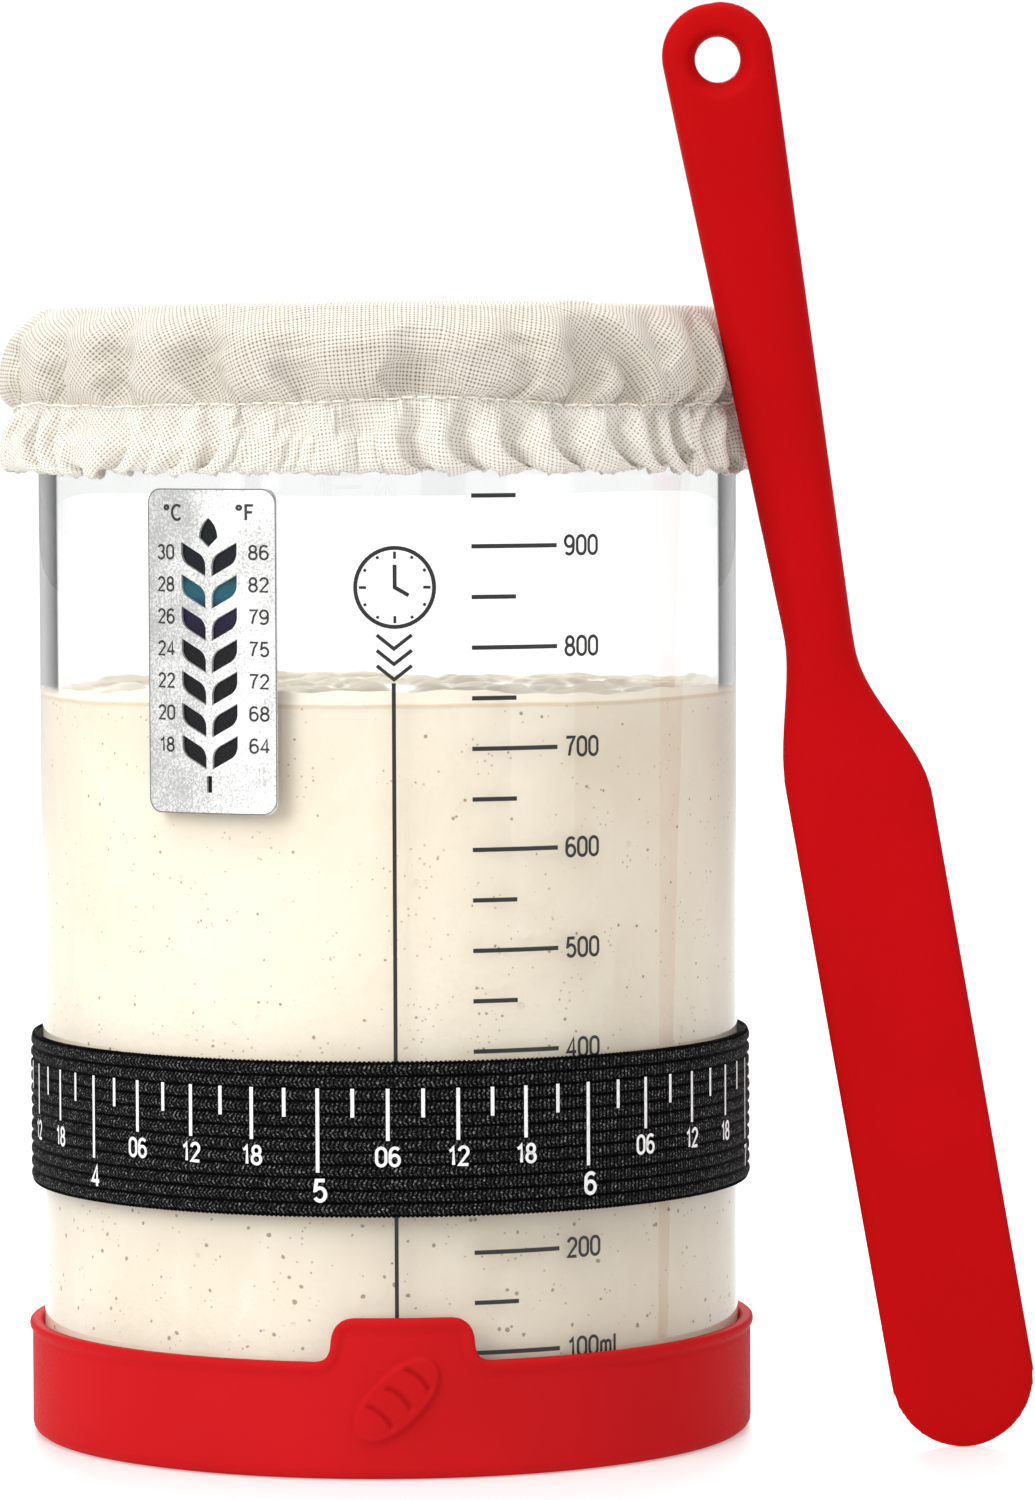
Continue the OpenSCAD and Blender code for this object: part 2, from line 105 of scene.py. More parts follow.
class Finish:
    """A material whose nodes are added by add() and mixed by colour()."""

    def __init__(self, name, **constants):
        self.material = bpy.data.materials.new(name)
        self.material.use_nodes = True
        self.tree = self.material.node_tree
        self.shader = self.tree.nodes["Principled BSDF"]
        for socket, value in constants.items():
            self.shader.inputs[socket.replace("_", " ")].default_value = value

    def add(self, kind, settings=None, inputs=(), output=0):
        """A node of this kind: settings first, then values or wires for its sockets."""
        node = self.tree.nodes.new("ShaderNode" + kind)
        stops = (settings or {}).pop("stops", None)
        for name, value in (settings or {}).items():
            setattr(node, name, value)
        if stops:
            ramp = node.color_ramp.elements
            while len(ramp) < len(stops):
                ramp.new(0.5)
            for element, (place, colour) in zip(ramp, stops):
                element.position, element.color = place, (*colour, 1)
        named = inputs.items() if isinstance(inputs, dict) else enumerate(inputs)
        for key, value in named:
            if isinstance(value, Wire):
                self.tree.links.new(value.socket, node.inputs[key])
            elif value is not None:
                node.inputs[key].default_value = value
        return Wire(self, node.outputs[output])

    def place(self):
        """The object's own coordinates, in millimetres."""
        raw = self.add("TexCoord", output=3)
        return self.add("VectorMath", {"operation": "SCALE"}, {0: raw, 3: 1000.0})

    def split(self, vector):
        return [self.add("SeparateXYZ", inputs=[vector], output=k) for k in range(3)]

    def noise(self, at, scale, detail=2.0, rough=0.5):
        return self.add("TexNoise", inputs={"Vector": at, "Scale": scale, "Detail": detail,
                                            "Roughness": rough})

    def stretch(self, vector, x, y, z):
        return self.add("VectorMath", {"operation": "MULTIPLY"}, [vector, (x, y, z)])

    def colour(self, share, a, b, blend="MIX"):
        """Colour a where share is 0, colour b where it is 1."""
        a, b = ((*c, 1) if isinstance(c, tuple) and len(c) == 3 else c for c in (a, b))
        return self.add("Mix", {"data_type": "RGBA", "blend_type": blend, "clamp_factor": True},
                        {0: share, 6: a, 7: b}, output=2)

    def set(self, socket, wire):
        self.tree.links.new(wire.socket, self.shader.inputs[socket])
        return self

    def bump(self, height, strength, distance):
        made = self.add("Bump", inputs={"Strength": strength, "Distance": distance * MM,
                                        "Height": height})
        return self.set("Normal", made)


print("shader helpers ready")

# %% [markdown]
# ## Meshes from grids
# Most of these pieces are turned, lofted or draped, so each is a grid of points, rows by
# columns, and one function makes the mesh, closes it round and merges the poles.

# %% Mesh helpers
def surface(name, grid, around=True, flat=None):
    """A mesh object through grid, an array of rows x columns x 3 in millimetres."""
    rows, columns = grid.shape[:2]
    here = np.arange(rows * columns).reshape(rows, columns)
    if around:
        here = np.concatenate([here, here[:, :1]], axis=1)
    faces = np.stack([here[:-1, :-1], here[:-1, 1:], here[1:, 1:], here[1:, :-1]], -1)
    faces = faces.reshape(-1, 4)
    return build(name, grid.reshape(-1, 3), faces.tolist(),
                 None if flat is None else flat.reshape(-1, 2))


def build(name, points, faces, flat=None):
    mesh = bpy.data.meshes.new(name)
    mesh.from_pydata((np.asarray(points) * MM).tolist(), [], faces)
    if flat is not None:
        corner = np.empty(len(mesh.loops), int)
        mesh.loops.foreach_get("vertex_index", corner)
        mesh.uv_layers.new(name="flat").data.foreach_set("uv", flat[corner].ravel())
    mesh.validate()
    mesh.shade_smooth()
    made = bpy.data.objects.new(name, mesh)
    bpy.context.scene.collection.objects.link(made)
    return made


def modify(piece, kind, **settings):
    """Adds a modifier and applies it at once."""
    modifier = piece.modifiers.new(kind.lower(), kind)
    for name, value in settings.items():
        setattr(modifier, name, value)
    shown = piece.evaluated_get(bpy.context.evaluated_depsgraph_get())
    mesh = bpy.data.meshes.new_from_object(shown)
    piece.modifiers.clear()
    piece.data = mesh
    return piece


def rounded(corners, steps=6):
    """A profile through corners (r, z, radius): each corner gets a smooth turn of its radius."""
    line = []
    for k, (r, z, *radius) in enumerate(corners):
        here = np.array([r, z], float)
        if not radius or k in (0, len(corners) - 1):
            line.append(here)
            continue
        back, ahead = (np.array(corners[k + s][:2], float) - here for s in (-1, 1))
        reach = min(radius[0], 0.49 * np.hypot(*back), 0.49 * np.hypot(*ahead))
        a = here + back / np.hypot(*back) * reach
        b = here + ahead / np.hypot(*ahead) * reach
        for t in np.linspace(0, 1, steps):
            line.append((1 - t) ** 2 * a + 2 * t * (1 - t) * here + t * t * b)
    return np.array(line)


def welded(name, grid, **settings):
    """A surface whose points are merged where they meet the axis."""
    return modify(surface(name, grid, **settings), "WELD", merge_threshold=1e-6)


def angles(count):
    return np.linspace(0, 2 * math.pi, count, endpoint=False)


def lathed(profile, count):
    """Rows of points: the profile's (r, z) turned about Z."""
    a, r, z = angles(count), profile[:, :1], profile[:, 1:]
    return np.stack([r * np.cos(a), r * np.sin(a), z + 0 * a], -1)


def wrapped(s, z, r):
    """Points at arc length s from the front, height z, on a cylinder of radius r."""
    s, z, r = np.broadcast_arrays(s, z, r)
    return np.stack([r * np.sin(s / ROUND), -r * np.cos(s / ROUND), z], -1)


def wear(piece, finish, body):
    """Gives the piece its finish and its body."""
    piece.data.materials.clear()
    piece.data.materials.append(finish.material)
    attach(piece, body)
    return piece


def smooth(t):
    t = np.clip(t, 0, 1)
    return t * t * (3 - 2 * t)


ROUND = 50.0  # arc lengths are measured on the glass wall
print("mesh helpers ready")

# %% [markdown]
# ## The studio
# The real picture is all white round the jar: a pale floor, a bright background, a large soft
# light from the left and a broad one from above. The sky is white to the camera and through
# glass, and half as bright as a lamp, so that it doesn't flatten the shading. To the camera the
# floor glows more and more further out, so that it meets the sky without an edge on any side.

# %% Sky and floor
world = bpy.data.worlds.new("studio")
bpy.context.scene.world = world
world.use_nodes = True
sky = world.node_tree
ray, either, level = (sky.nodes.new("ShaderNode" + kind) for kind in ("LightPath", "Math", "MapRange"))
either.operation = "MAXIMUM"
level.inputs["To Min"].default_value, level.inputs["To Max"].default_value = 0.5, 1.05
sky.links.new(ray.outputs["Is Camera Ray"], either.inputs[0])
sky.links.new(ray.outputs["Is Transmission Ray"], either.inputs[1])
sky.links.new(either.outputs[0], level.inputs["Value"])
sky.links.new(level.outputs[0], sky.nodes["Background"].inputs["Strength"])
sky.nodes["Background"].inputs["Color"].default_value = (1, 1, 1, 1)

FLOOR, NEAR, FAR = 6000, 400, 1500
pale = Finish("floor_pale", Base_Color=(0.62, 0.62, 0.62, 1), Specular_IOR_Level=0.3,
              Emission_Strength=1.0)
at = pale.place()
x, y, z = pale.split(at)
seen = pale.add("LightPath") + pale.add("LightPath", output=6)
far = ((x * x + y * y) ** 0.5).step(NEAR, FAR) * seen
pale.set("Emission Color", pale.colour(far, (0.36, 0.36, 0.36), (0.9, 0.9, 0.9)))
pale.set("Roughness", pale.noise(at, 0.004).step(0.2, 0.8, 0.35, 0.39))
corners = [(-FLOOR, -FLOOR, 0), (FLOOR, -FLOOR, 0), (FLOOR, FLOOR, 0), (-FLOOR, FLOOR, 0)]
floor = build("floor", corners, [[0, 1, 2, 3]])
floor.data.materials.append(pale.material)
print("floor", 2 * FLOOR, "mm across")


# %% Lights
def softbox(name, place, look, size, power):
    lamp = bpy.data.lights.new(name, "AREA")
    lamp.energy, lamp.shape = power, "RECTANGLE"
    lamp.size, lamp.size_y = size[0] * MM, size[1] * MM
    made = bpy.data.objects.new(name, lamp)
    towards = (Vector(place) - Vector(look)).to_track_quat("Z", "Y")
    made.matrix_world = Matrix.Translation(Vector(place) * MM) @ towards.to_matrix().to_4x4()
    bpy.context.scene.collection.objects.link(made)


softbox("key", (-1000, -900, 700), (0, 0, 90), (700, 900), 10)
softbox("fill", (1100, -900, 400), (0, 0, 90), (600, 900), 1.5)
softbox("top", (0, -100, 1400), (0, 0, 0), (1600, 1400), 21)
softbox("back", (0, 1200, 700), (0, 0, 106), (800, 450), 9)
print("lights", len(bpy.data.lights))

# %% [markdown]
# ## Clear glass
# Glass is mostly a matter of shape: the thick heel, the wall of even thickness and the rounded
# shoulder bend what is behind them. The CAD wall is faceted, which refraction would show as
# stripes, so the glass is turned again here with many segments. Shadows through real glass are
# light, and rays that only look for a lamp are let through by a Transparent shader.

# %% The glass's finish
GLASS_R, BORE_R, NECK_R, MOUTH_R = 50, 47.9, 46.8, 43.9
FOOT_Z, STARTER_Z, SHOULDER_Z, RIM_Z = 1.55, 106.5, 143, 159
CLEAR = (0.985, 0.995, 0.992)
glass_clear = Finish("glass_clear", Roughness=0.0, IOR=1.5, Transmission_Weight=1.0,
                     Base_Color=(*CLEAR, 1))
through = glass_clear.add("BsdfTransparent", inputs={"Color": (0.97, 0.98, 0.98, 1)})
either = glass_clear.add("MixShader", inputs={0: glass_clear.add("LightPath", output=1), 2: through})
depth = glass_clear.add("VolumeAbsorption", inputs={"Color": (0.89, 0.895, 0.885, 1), "Density": 150})
ends = glass_clear.tree.nodes["Material Output"].inputs
for start, end in ((glass_clear.shader.outputs[0], either.socket.node.inputs[1]),
                   (either.socket, ends["Surface"]), (depth.socket, ends["Volume"])):
    glass_clear.tree.links.new(start, end)

# A ray that meets the wall at a slant is mirrored by the bore, where the bore holds air, and
# shows the dim room beside the picture instead of what is behind the jar. The ramp is a painted
# reflection of that room in the glass's colour, set by the wall's slant: clear face on, darkest
# just outside the bore's edge and grey further out.
PAINTED_EDGE_REFLECTION = ((0.0, 0.42), (0.12, 0.36), (0.18, 0.22), (0.23, 0.10), (0.26, 0.05),
              (0.285, 0.02), (0.312, 0.004), (0.328, 0.97))
at = glass_clear.place()
x, y, z = glass_clear.split(at)
slant = 1 - glass_clear.add("LayerWeight", inputs={0: 0.5}, output=1)
stops = [(place, (t, t, t)) for place, t in PAINTED_EDGE_REFLECTION]
tones = glass_clear.add("ValToRGB", {"stops": stops}, [slant])
air = ((x * x + y * y) ** 0.5).step(48.6, 49.2) * z.step(STARTER_Z - 0.5, STARTER_Z + 1.5)
glass_clear.set("Base Color", glass_clear.colour(air, CLEAR, tones))
print("glass edge in", len(PAINTED_EDGE_REFLECTION), "tones")

# %% The turned glass
glass_line = rounded([
    (0, 2.55), (24.6, 2.3, 6), (41, FOOT_Z, 3), (GLASS_R, FOOT_Z, 5), (GLASS_R, SHOULDER_Z, 2.6),
    (NECK_R, SHOULDER_Z + 0.2, 1.2), (NECK_R, 145.6, 0.4), (NECK_R + 0.8, 146.4, 0.5),
    (NECK_R, 147.2, 0.4), (NECK_R, RIM_Z, 1.2), (MOUTH_R, RIM_Z, 1.2), (MOUTH_R, 144.4, 2),
    (BORE_R, 141.6, 3), (BORE_R, 4.15, 4), (0, 4.75)], steps=9)
# The straight neck gets rows of its own, for the thread
neck = np.stack([np.full(45, NECK_R), np.linspace(148.0, 157.3, 45)], -1)
above = np.flatnonzero(glass_line[:, 1] > RIM_Z - 2)[0]
glass_line = np.insert(glass_line, above, neck, axis=0)
glass = welded("glass_body", lathed(glass_line, 256))

# %% The screw thread
# One bead winds up the neck a turn and a half and fades out at both ends.
THREAD_Z, THREAD_PITCH, THREAD_HALF, THREAD_RISE = 150.2, 4.0, 0.62, 0.95
points = glass.data.vertices
co = np.empty(len(points) * 3)
points.foreach_get("co", co)
co = co.reshape(-1, 3) / MM
turn_at = np.arctan2(co[:, 1], co[:, 0]) / (2 * math.pi)
on_neck = (abs(np.hypot(co[:, 0], co[:, 1]) - NECK_R) < 0.02) & (co[:, 2] > 147.9)
climbed = (co[:, 2] - THREAD_Z) / THREAD_PITCH
along = np.round(climbed - turn_at) + turn_at
bead = np.exp(-((climbed - along) * THREAD_PITCH / THREAD_HALF) ** 2)
bead *= smooth((along + 0.35) / 0.15) * smooth((1.35 - along) / 0.15)
co[:, :2] *= (1 + np.where(on_neck, THREAD_RISE * bead, 0) / NECK_R)[:, None]
points.foreach_set("co", (co * MM).ravel())
wear(glass, glass_clear, "jar")
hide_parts("glass_jar")
print("glass", len(glass.data.vertices), "points")

# %% [markdown]
# ## The starter
# Flour and water: a cream mass that wets the glass, so it touches the wall with no air between
# them, with bran specks and small bubbles against the glass and a drying top of flat foam.

# %% The starter's finish
dough = Finish("dough_wet", Roughness=0.55, Specular_IOR_Level=0.2)
at = dough.place()
x, y, z = dough.split(at)
cloud = dough.noise(at, 0.035, 3)
cream = dough.colour(cloud.step(0.35, 0.7), (0.87, 0.785, 0.66), (0.80, 0.71, 0.58))
streak = dough.noise(dough.stretch(at, 1, 1, 0.4), 0.16, 4, 0.6)
cream = dough.colour(streak.step(0.45, 0.8) * 0.5, cream, (0.91, 0.84, 0.735))
bran = dough.noise(at, 0.5).step(0.38, 0.7, 0.02, 0.23) * z.step(25, 80, 1.1, 0.8)
grit = dough.noise(at, 0.22).step(0.48, 0.62, 0.0, 0.2)
# Against the glass the bubbles are darker dots: painted shade in their hollows.
shaded_bubbles = dough.noise(at, 0.21).step(0.5, 0.8, 0.0, 0.24)
for size, cells, soft, share, tone in ((bran, 0.55, 0.06, 0.8, (0.27, 0.18, 0.11)),
                                       (grit, 0.95, 0.05, 0.6, (0.42, 0.31, 0.20)),
                                       (shaded_bubbles, 0.30, 0.05, 0.35, (0.66, 0.56, 0.42))):
    middle = dough.add("TexVoronoi", {"feature": "F1"}, {"Vector": at, "Scale": cells})
    dots = (size - middle).step(0.0, soft)
    cream = dough.colour(dots * share, cream, tone)
top = z.step(STARTER_Z - 0.6, STARTER_Z + 0.1)
# The top is a pale dry crust, painted lighter still to stand in for the light that the lid keeps off it.
crust_and_painted_light = dough.colour(dough.noise(at, 0.12, 4).step(0.35, 0.65), (0.96, 0.85, 0.69), (0.98, 0.91, 0.79))
cream = dough.colour(top, cream, crust_and_painted_light)
# Where the starter clings to the glass it is thin and whitish, above a line of dried flour
edge = ((x * x + y * y) ** 0.5).step(44.5, 46.5)
cream = dough.colour(edge * z.step(STARTER_Z - 0.1, STARTER_Z + 0.3) * 0.8, cream, (0.97, 0.89, 0.78))
line = abs(z - STARTER_Z + 0.35 + (cloud - 0.5) * 1.2).step(0.45, 0.1)
dough.set("Base Color", dough.colour(edge * line * 0.55, cream, (0.66, 0.50, 0.33)))
damp = dough.noise(at, 0.6).step(0.3, 0.7, 0.42, 0.62)
dough.set("Roughness", damp + top * (0.95 - damp))
dough.bump(dough.noise(at, 0.5, 3) - dots * 0.5, 0.35, 0.5)
print("starter's finish of", len(dough.tree.nodes), "nodes")

# %% The starter
STARTER_R, SEED, DOMES, SUNK = 47.93, 11, 420, 0.7
side = rounded([(0, 4.8), (STARTER_R, 4.2, 4), (STARTER_R, STARTER_Z - 2),
                (STARTER_R, STARTER_Z + 1.7, 0.2), (STARTER_R - 0.5, STARTER_Z + 1.5, 0.3),
                (STARTER_R - 2.4, STARTER_Z, 1.8)], steps=6)
rings = np.linspace(STARTER_R - 3, 0, 60)
grid = lathed(np.concatenate([side, np.stack([rings, 0 * rings + STARTER_Z], -1)]), 240)
rng = np.random.default_rng(SEED)
height = np.zeros(grid.shape[:2])
for _ in range(DOMES):
    place = rng.uniform(-46, 46, 2)
    size = rng.uniform(1.0, 4.0)
    gap = np.hypot(grid[..., 0] - place[0], grid[..., 1] - place[1]) / size
    height = np.maximum(height, rng.uniform(0.2, 0.42) * size * np.clip(1 - gap ** 2, 0, 1))
# Where it climbs the glass its edge is ragged, and higher at the front
a = angles(240)
front = 0.55 - 0.45 * np.sin(a)
ragged = 0.5 * np.sin(3 * a + 1) + 0.3 * np.sin(8 * a)
ragged = ragged + 0.2 * np.sin(19 * a + 2) + 0.15 * np.sin(43 * a)
grid[..., 2] += np.clip(grid[..., 2] - STARTER_Z, 0, 2) * (ragged * 0.45 + front - 1)
inside = np.hypot(grid[..., 0], grid[..., 1]) < STARTER_R - 2
grid[..., 2] += np.where(inside & (grid[..., 2] > 100), height - SUNK, 0)
starter = welded("starter_mass", grid)
wear(starter, dough, "jar")
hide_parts("starter_dough")
print("starter", len(starter.data.vertices), "points")

# %% [markdown]
# ## Moulded silicone
# Silicone is satin: hardly any highlight, and a surface that is never quite even. One formula
# serves base and spatula, in two reds.

# %% Silicone
def silicone(name, light, dark):
    finish = Finish(name, Roughness=0.5, Specular_IOR_Level=0.02)
    at = finish.place()
    patch = finish.noise(at, 0.03, 2)
    finish.set("Base Color", finish.colour(patch.step(0.3, 0.7), light, dark))
    fine = finish.noise(at, 2.2, 3, 0.6)
    finish.set("Roughness", fine.step(0.3, 0.7, 0.42, 0.58))
    finish.bump(fine, 0.12, 0.06)
    return finish


base_red = silicone("base_silicone", (0.54, 0.010, 0.013), (0.48, 0.009, 0.011))
spatula_red = silicone("spatula_silicone_red", (0.47, 0.003, 0.005), (0.43, 0.003, 0.004))
print("two reds")

# %% [markdown]
# ## The base
# The base is a thin cup whose rolled lip leaves its level at the front, runs up one side of the
# pointer tab and down the other. Its outline is drawn once on the unrolled wall. The lip follows
# the outline at a fixed distance, and columns of points run from there to the floor of the cup.

# %% The base's outline
BASE_IN, BASE_OUT, BASE_H = 50.3, 51.8, 16.3
TAB_X, TAB_HALF, TAB_TOP = 1.45, 9.6, 22.4
half_turn = math.pi * ROUND
tab_left, tab_right = TAB_X - TAB_HALF, TAB_X + TAB_HALF
corners = [(-half_turn, BASE_H), (tab_left - 0.4, BASE_H, 2.1), (tab_left + 0.3, TAB_TOP, 3.9),
           (tab_right - 0.3, TAB_TOP, 3.9), (tab_right + 0.4, BASE_H, 2.1), (half_turn, BASE_H)]
coarse = rounded(corners, 14)
length = np.concatenate([[0], np.cumsum(np.hypot(*np.diff(coarse, axis=0).T))])
middle = length[-1] / 2
near = np.arange(-20, 20, 0.16)
far = np.linspace(20, middle, 130)
stops = middle + np.concatenate([-far[::-1], near, far[:-1]])
outline = np.stack([np.interp(stops, length, coarse[:, k]) for k in (0, 1)], -1)
run = np.gradient(outline, axis=0)
inward = np.stack([run[:, 1], -run[:, 0]], -1) / np.hypot(*run.T)[:, None]
for _ in range(6):
    inward = (np.roll(inward, 1, 0) + inward + np.roll(inward, -1, 0)) / 3
print("outline of", len(outline), "points")


# %% The loaf in relief
def loaf_relief(s, z):
    """Height of the loaf figure over the wall: a plain long loaf with three slashes."""
    c, d = math.cos(math.radians(46)), math.sin(math.radians(46))
    u, v = (s - 0.55) * c + (z - 11.1) * d, -(s - 0.55) * d + (z - 11.1) * c
    reach = np.abs(u / 7.4) ** 2.3 + np.abs(v / 3.6) ** 2
    rise = smooth((1 - reach) / 0.15)
    for k in (-1, 0, 1):
        off = u - k * 3.55 - 0.9 + 0.09 * v ** 2
        cut = smooth(1 - np.abs(off) / 0.55) * smooth((2.6 - np.abs(v)) / 0.8)
        rise = rise * (1 - 0.95 * cut)
    return 0.6 * rise


# %% The base
turned = [(0, 0), (42.5, 0), (42.9, 0.4), (44.5, 0.4), (44.9, 0), (50.0, 0), (50.8, 0.16),
          (51.4, 0.6), (51.7, 1.1), (BASE_OUT, 1.7)]
rows = [wrapped(outline[:, 0], 0 * outline[:, 0] + z, r) for r, z in turned]
lip = [(2.4, 0), (2.0, -0.07), (1.65, -0.05), (1.35, 0.13), (1.05, 0.31), (0.65, 0.38), (0.3, 0.3),
       (0.1, 0.12), (0.02, -0.12), (0.0, -0.45), (0.0, -0.9), (0.08, -1.25), (0.28, -1.45), (0.5, -1.5)]
edge = outline + inward * lip[0][0]
for t in np.linspace(0, 1, 70)[1:]:
    s = edge[:, 0]
    z = 1.7 + (edge[:, 1] - 1.7) * t
    rows.append(wrapped(s, z, BASE_OUT + loaf_relief(s, z)))
for gap, out in lip[1:]:
    place = outline + inward * gap
    rows.append(wrapped(place[:, 0], place[:, 1], BASE_OUT + out))
inner = outline + inward * 0.5
for z_share in (0.6, 0.2, 0.0):
    rows.append(wrapped(inner[:, 0], 6.5 + (inner[:, 1] - 6.5) * z_share, BASE_IN))
for r, z in [(49.9, 4.2), (48.6, 2.5), (46.5, 1.7), (44, 1.5), (20, 1.5), (0, 1.5)]:
    rows.append(wrapped(inner[:, 0], z, r))
base = welded("base_cup", np.array(rows))
wear(base, base_red, "base")
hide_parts("silicone_base")
print("base", len(base.data.vertices), "points")

# %% [markdown]
# ## The spatula
# One loft from tip to hanging hole. The blade's edges run straight and then swing in to a
# handle that leans to the left. The hole is cut with a waisted cutter, whose flare makes the
# dish round it, and a fine remesh rounds every edge as a mould does.

# %% The spatula's sections
SPAT_L, BLADE, SHOULDER, HANDLE, END_R = 206.5, 10.15, 93.96, 116.05, 7.7
END = SPAT_L - END_R
THICKEN = SHOULDER - 10
LEAN, SPAT_X, SPAT_Y = 9.95, 82.3, -24.5
HANDLE_LEFT, HANDLE_RIGHT, GROW_LEFT, GROW_RIGHT = 6.55, 3, 2.75, 3.2


def mix(a, b, t):
    return a + (b - a) * t


def between(a, b, s):
    return float(smooth((s - a) / (b - a)))


def half_widths(s):
    tip = math.sqrt(max(0, BLADE ** 2 - (BLADE - s) ** 2)) if s < BLADE else BLADE
    grow = max(0, s - HANDLE) / (END - HANDLE)
    cut = 0 if s < END else END_R - math.sqrt(max(0, END_R ** 2 - (s - END) ** 2))
    left = mix(BLADE, HANDLE_LEFT, between(SHOULDER + 2, HANDLE + 2, s)) + GROW_LEFT * grow - cut
    right = mix(BLADE, HANDLE_RIGHT, between(SHOULDER - 2, HANDLE - 2, s)) + GROW_RIGHT * grow - cut
    left, right = (tip if s < SHOULDER else left), (tip if s < SHOULDER - 2 else right)
    return max(left, 0.05), max(right, 0.05)


def thickness(s):
    blade = mix(2.2, 4.6, between(0, SHOULDER - 4, s))
    body = mix(blade, 8.6, between(THICKEN, HANDLE + 6, s))
    body -= 3.4 * between(END - 2 * END_R, SPAT_L, s)
    return body * (1 - (max(0, s - END) / END_R) ** 2) ** 0.25


along = np.concatenate([BLADE * (1 - np.cos(np.radians(np.arange(3, 90, 6)))),
                        np.linspace(BLADE, END, 120),
                        END + END_R * np.sin(np.radians(np.arange(5, 89, 6)))])
a = angles(48)
sections = []
for s in along:
    left, right = half_widths(s)
    power = mix(mix(0.75, 0.9, between(THICKEN, HANDLE, s)), 0.5, between(END - 26, END - 8, s))
    x = (right - left) / 2 + (left + right) / 2 * np.sign(np.cos(a)) * np.abs(np.cos(a)) ** power
    y = thickness(s) / 2 * np.sign(np.sin(a)) * np.abs(np.sin(a)) ** power
    sections.append(np.stack([x, y, 0 * a + s], -1))
caps = [np.repeat(ring.mean(0)[None], 48, 0) for ring in (sections[0], sections[-1])]
spatula = welded("spatula_body", np.array([caps[0], *sections, caps[1]]))
print("spatula of", len(sections), "sections")

# %% The hanging hole
HOLE_X, HOLE_S, HOLE_R = -1.6, END - 0.3, 3.2
waist = [(0, -6), (HOLE_R + 4.0, -6), (HOLE_R + 2.0, -3.3), (HOLE_R + 0.9, -2.3),
         (HOLE_R + 0.25, -1.6), (HOLE_R, -0.9)]
waist += [(r, -z) for r, z in waist[::-1]]
cutter = welded("hole_cutter", lathed(np.array(waist, float), 96))
cutter.data.transform(Matrix.Translation([HOLE_X * MM, 0, HOLE_S * MM]) @ turn(90, "X"))
modify(spatula, "BOOLEAN", operation="DIFFERENCE", object=cutter, solver="EXACT")
bpy.data.objects.remove(cutter)
modify(spatula, "REMESH", mode="VOXEL", voxel_size=0.42 * MM)
modify(spatula, "SMOOTH", factor=0.5, iterations=6)
spatula.data.shade_smooth()
rise = BLADE * (1 - math.cos(math.radians(LEAN)))
spatula.data.transform(Matrix.Translation([SPAT_X * MM, SPAT_Y * MM, rise * MM]) @ turn(-LEAN, "Y"))
wear(spatula, spatula_red, "spatula")
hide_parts("spatula_silicone")
print("spatula", len(spatula.data.vertices), "points")

# %% [markdown]
# ## Ink
# The scale, the pointer line and the numbers are printed: flat strokes of even width. Each digit
# is a few lines and arcs. `Print` lays strokes out on the unrolled surface, turns them into
# ribbons and wraps them round the cylinder.

# %% Digits as strokes
def bow(x, y, rx, ry, start, end, n=12):
    a = np.radians(np.linspace(start, end, n))
    return list(zip(x + rx * np.cos(a), y + ry * np.sin(a)))


DIGITS = {
    "0": [bow(.27, .70, .25, .27, 0, 180) + bow(.27, .30, .25, .27, 180, 360) + [(.52, .70)]],
    "1": [[(.08, .76), (.20, .82), (.30, .97), (.30, .03)]],
    "2": [bow(.27, .72, .24, .25, 170, -35) + [(.03, .03), (.53, .03)]],
    "3": [bow(.26, .74, .22, .23, 160, -80, 12) + bow(.26, .27, .25, .25, 85, -160, 12)],
    "4": [[(.56, .27), (.02, .27), (.40, .97), (.40, .03)]],
    "5": [[(.49, .97), (.12, .97), (.06, .52)] + bow(.27, .33, .25, .30, 140, -150)],
    "6": [bow(.30, .68, .26, .29, 40, 180) + bow(.28, .31, .25, .28, 180, 540, 20)],
    "7": [[(.03, .97), (.52, .97), (.30, .55), (.20, .03)]],
    "8": [bow(.27, .74, .21, .23, 0, 360, 18), bow(.27, .28, .25, .25, 0, 360, 18)],
    "9": [bow(.24, .32, .26, .29, 220, 360) + bow(.26, .69, .25, .28, 0, 360, 20)],
    "C": [bow(.34, .50, .31, .47, 48, 312, 20)],
    "F": [[(.46, .97), (.06, .97), (.06, .03)], [(.06, .53), (.40, .53)]],
    "o": [bow(.14, .82, .12, .12, 0, 360, 14)],
    "m": [[(.05, .02), (.05, .66)], bow(.20, .50, .15, .17, 180, 0, 8) + [(.35, .02)],
          bow(.50, .50, .15, .17, 180, 0, 8) + [(.65, .02)]],
    "l": [[(.05, .02), (.05, .98)]],
}
WIDTHS = {"o": .30, "m": .72, "l": .12, "1": .42, "C": .66, "F": .5}


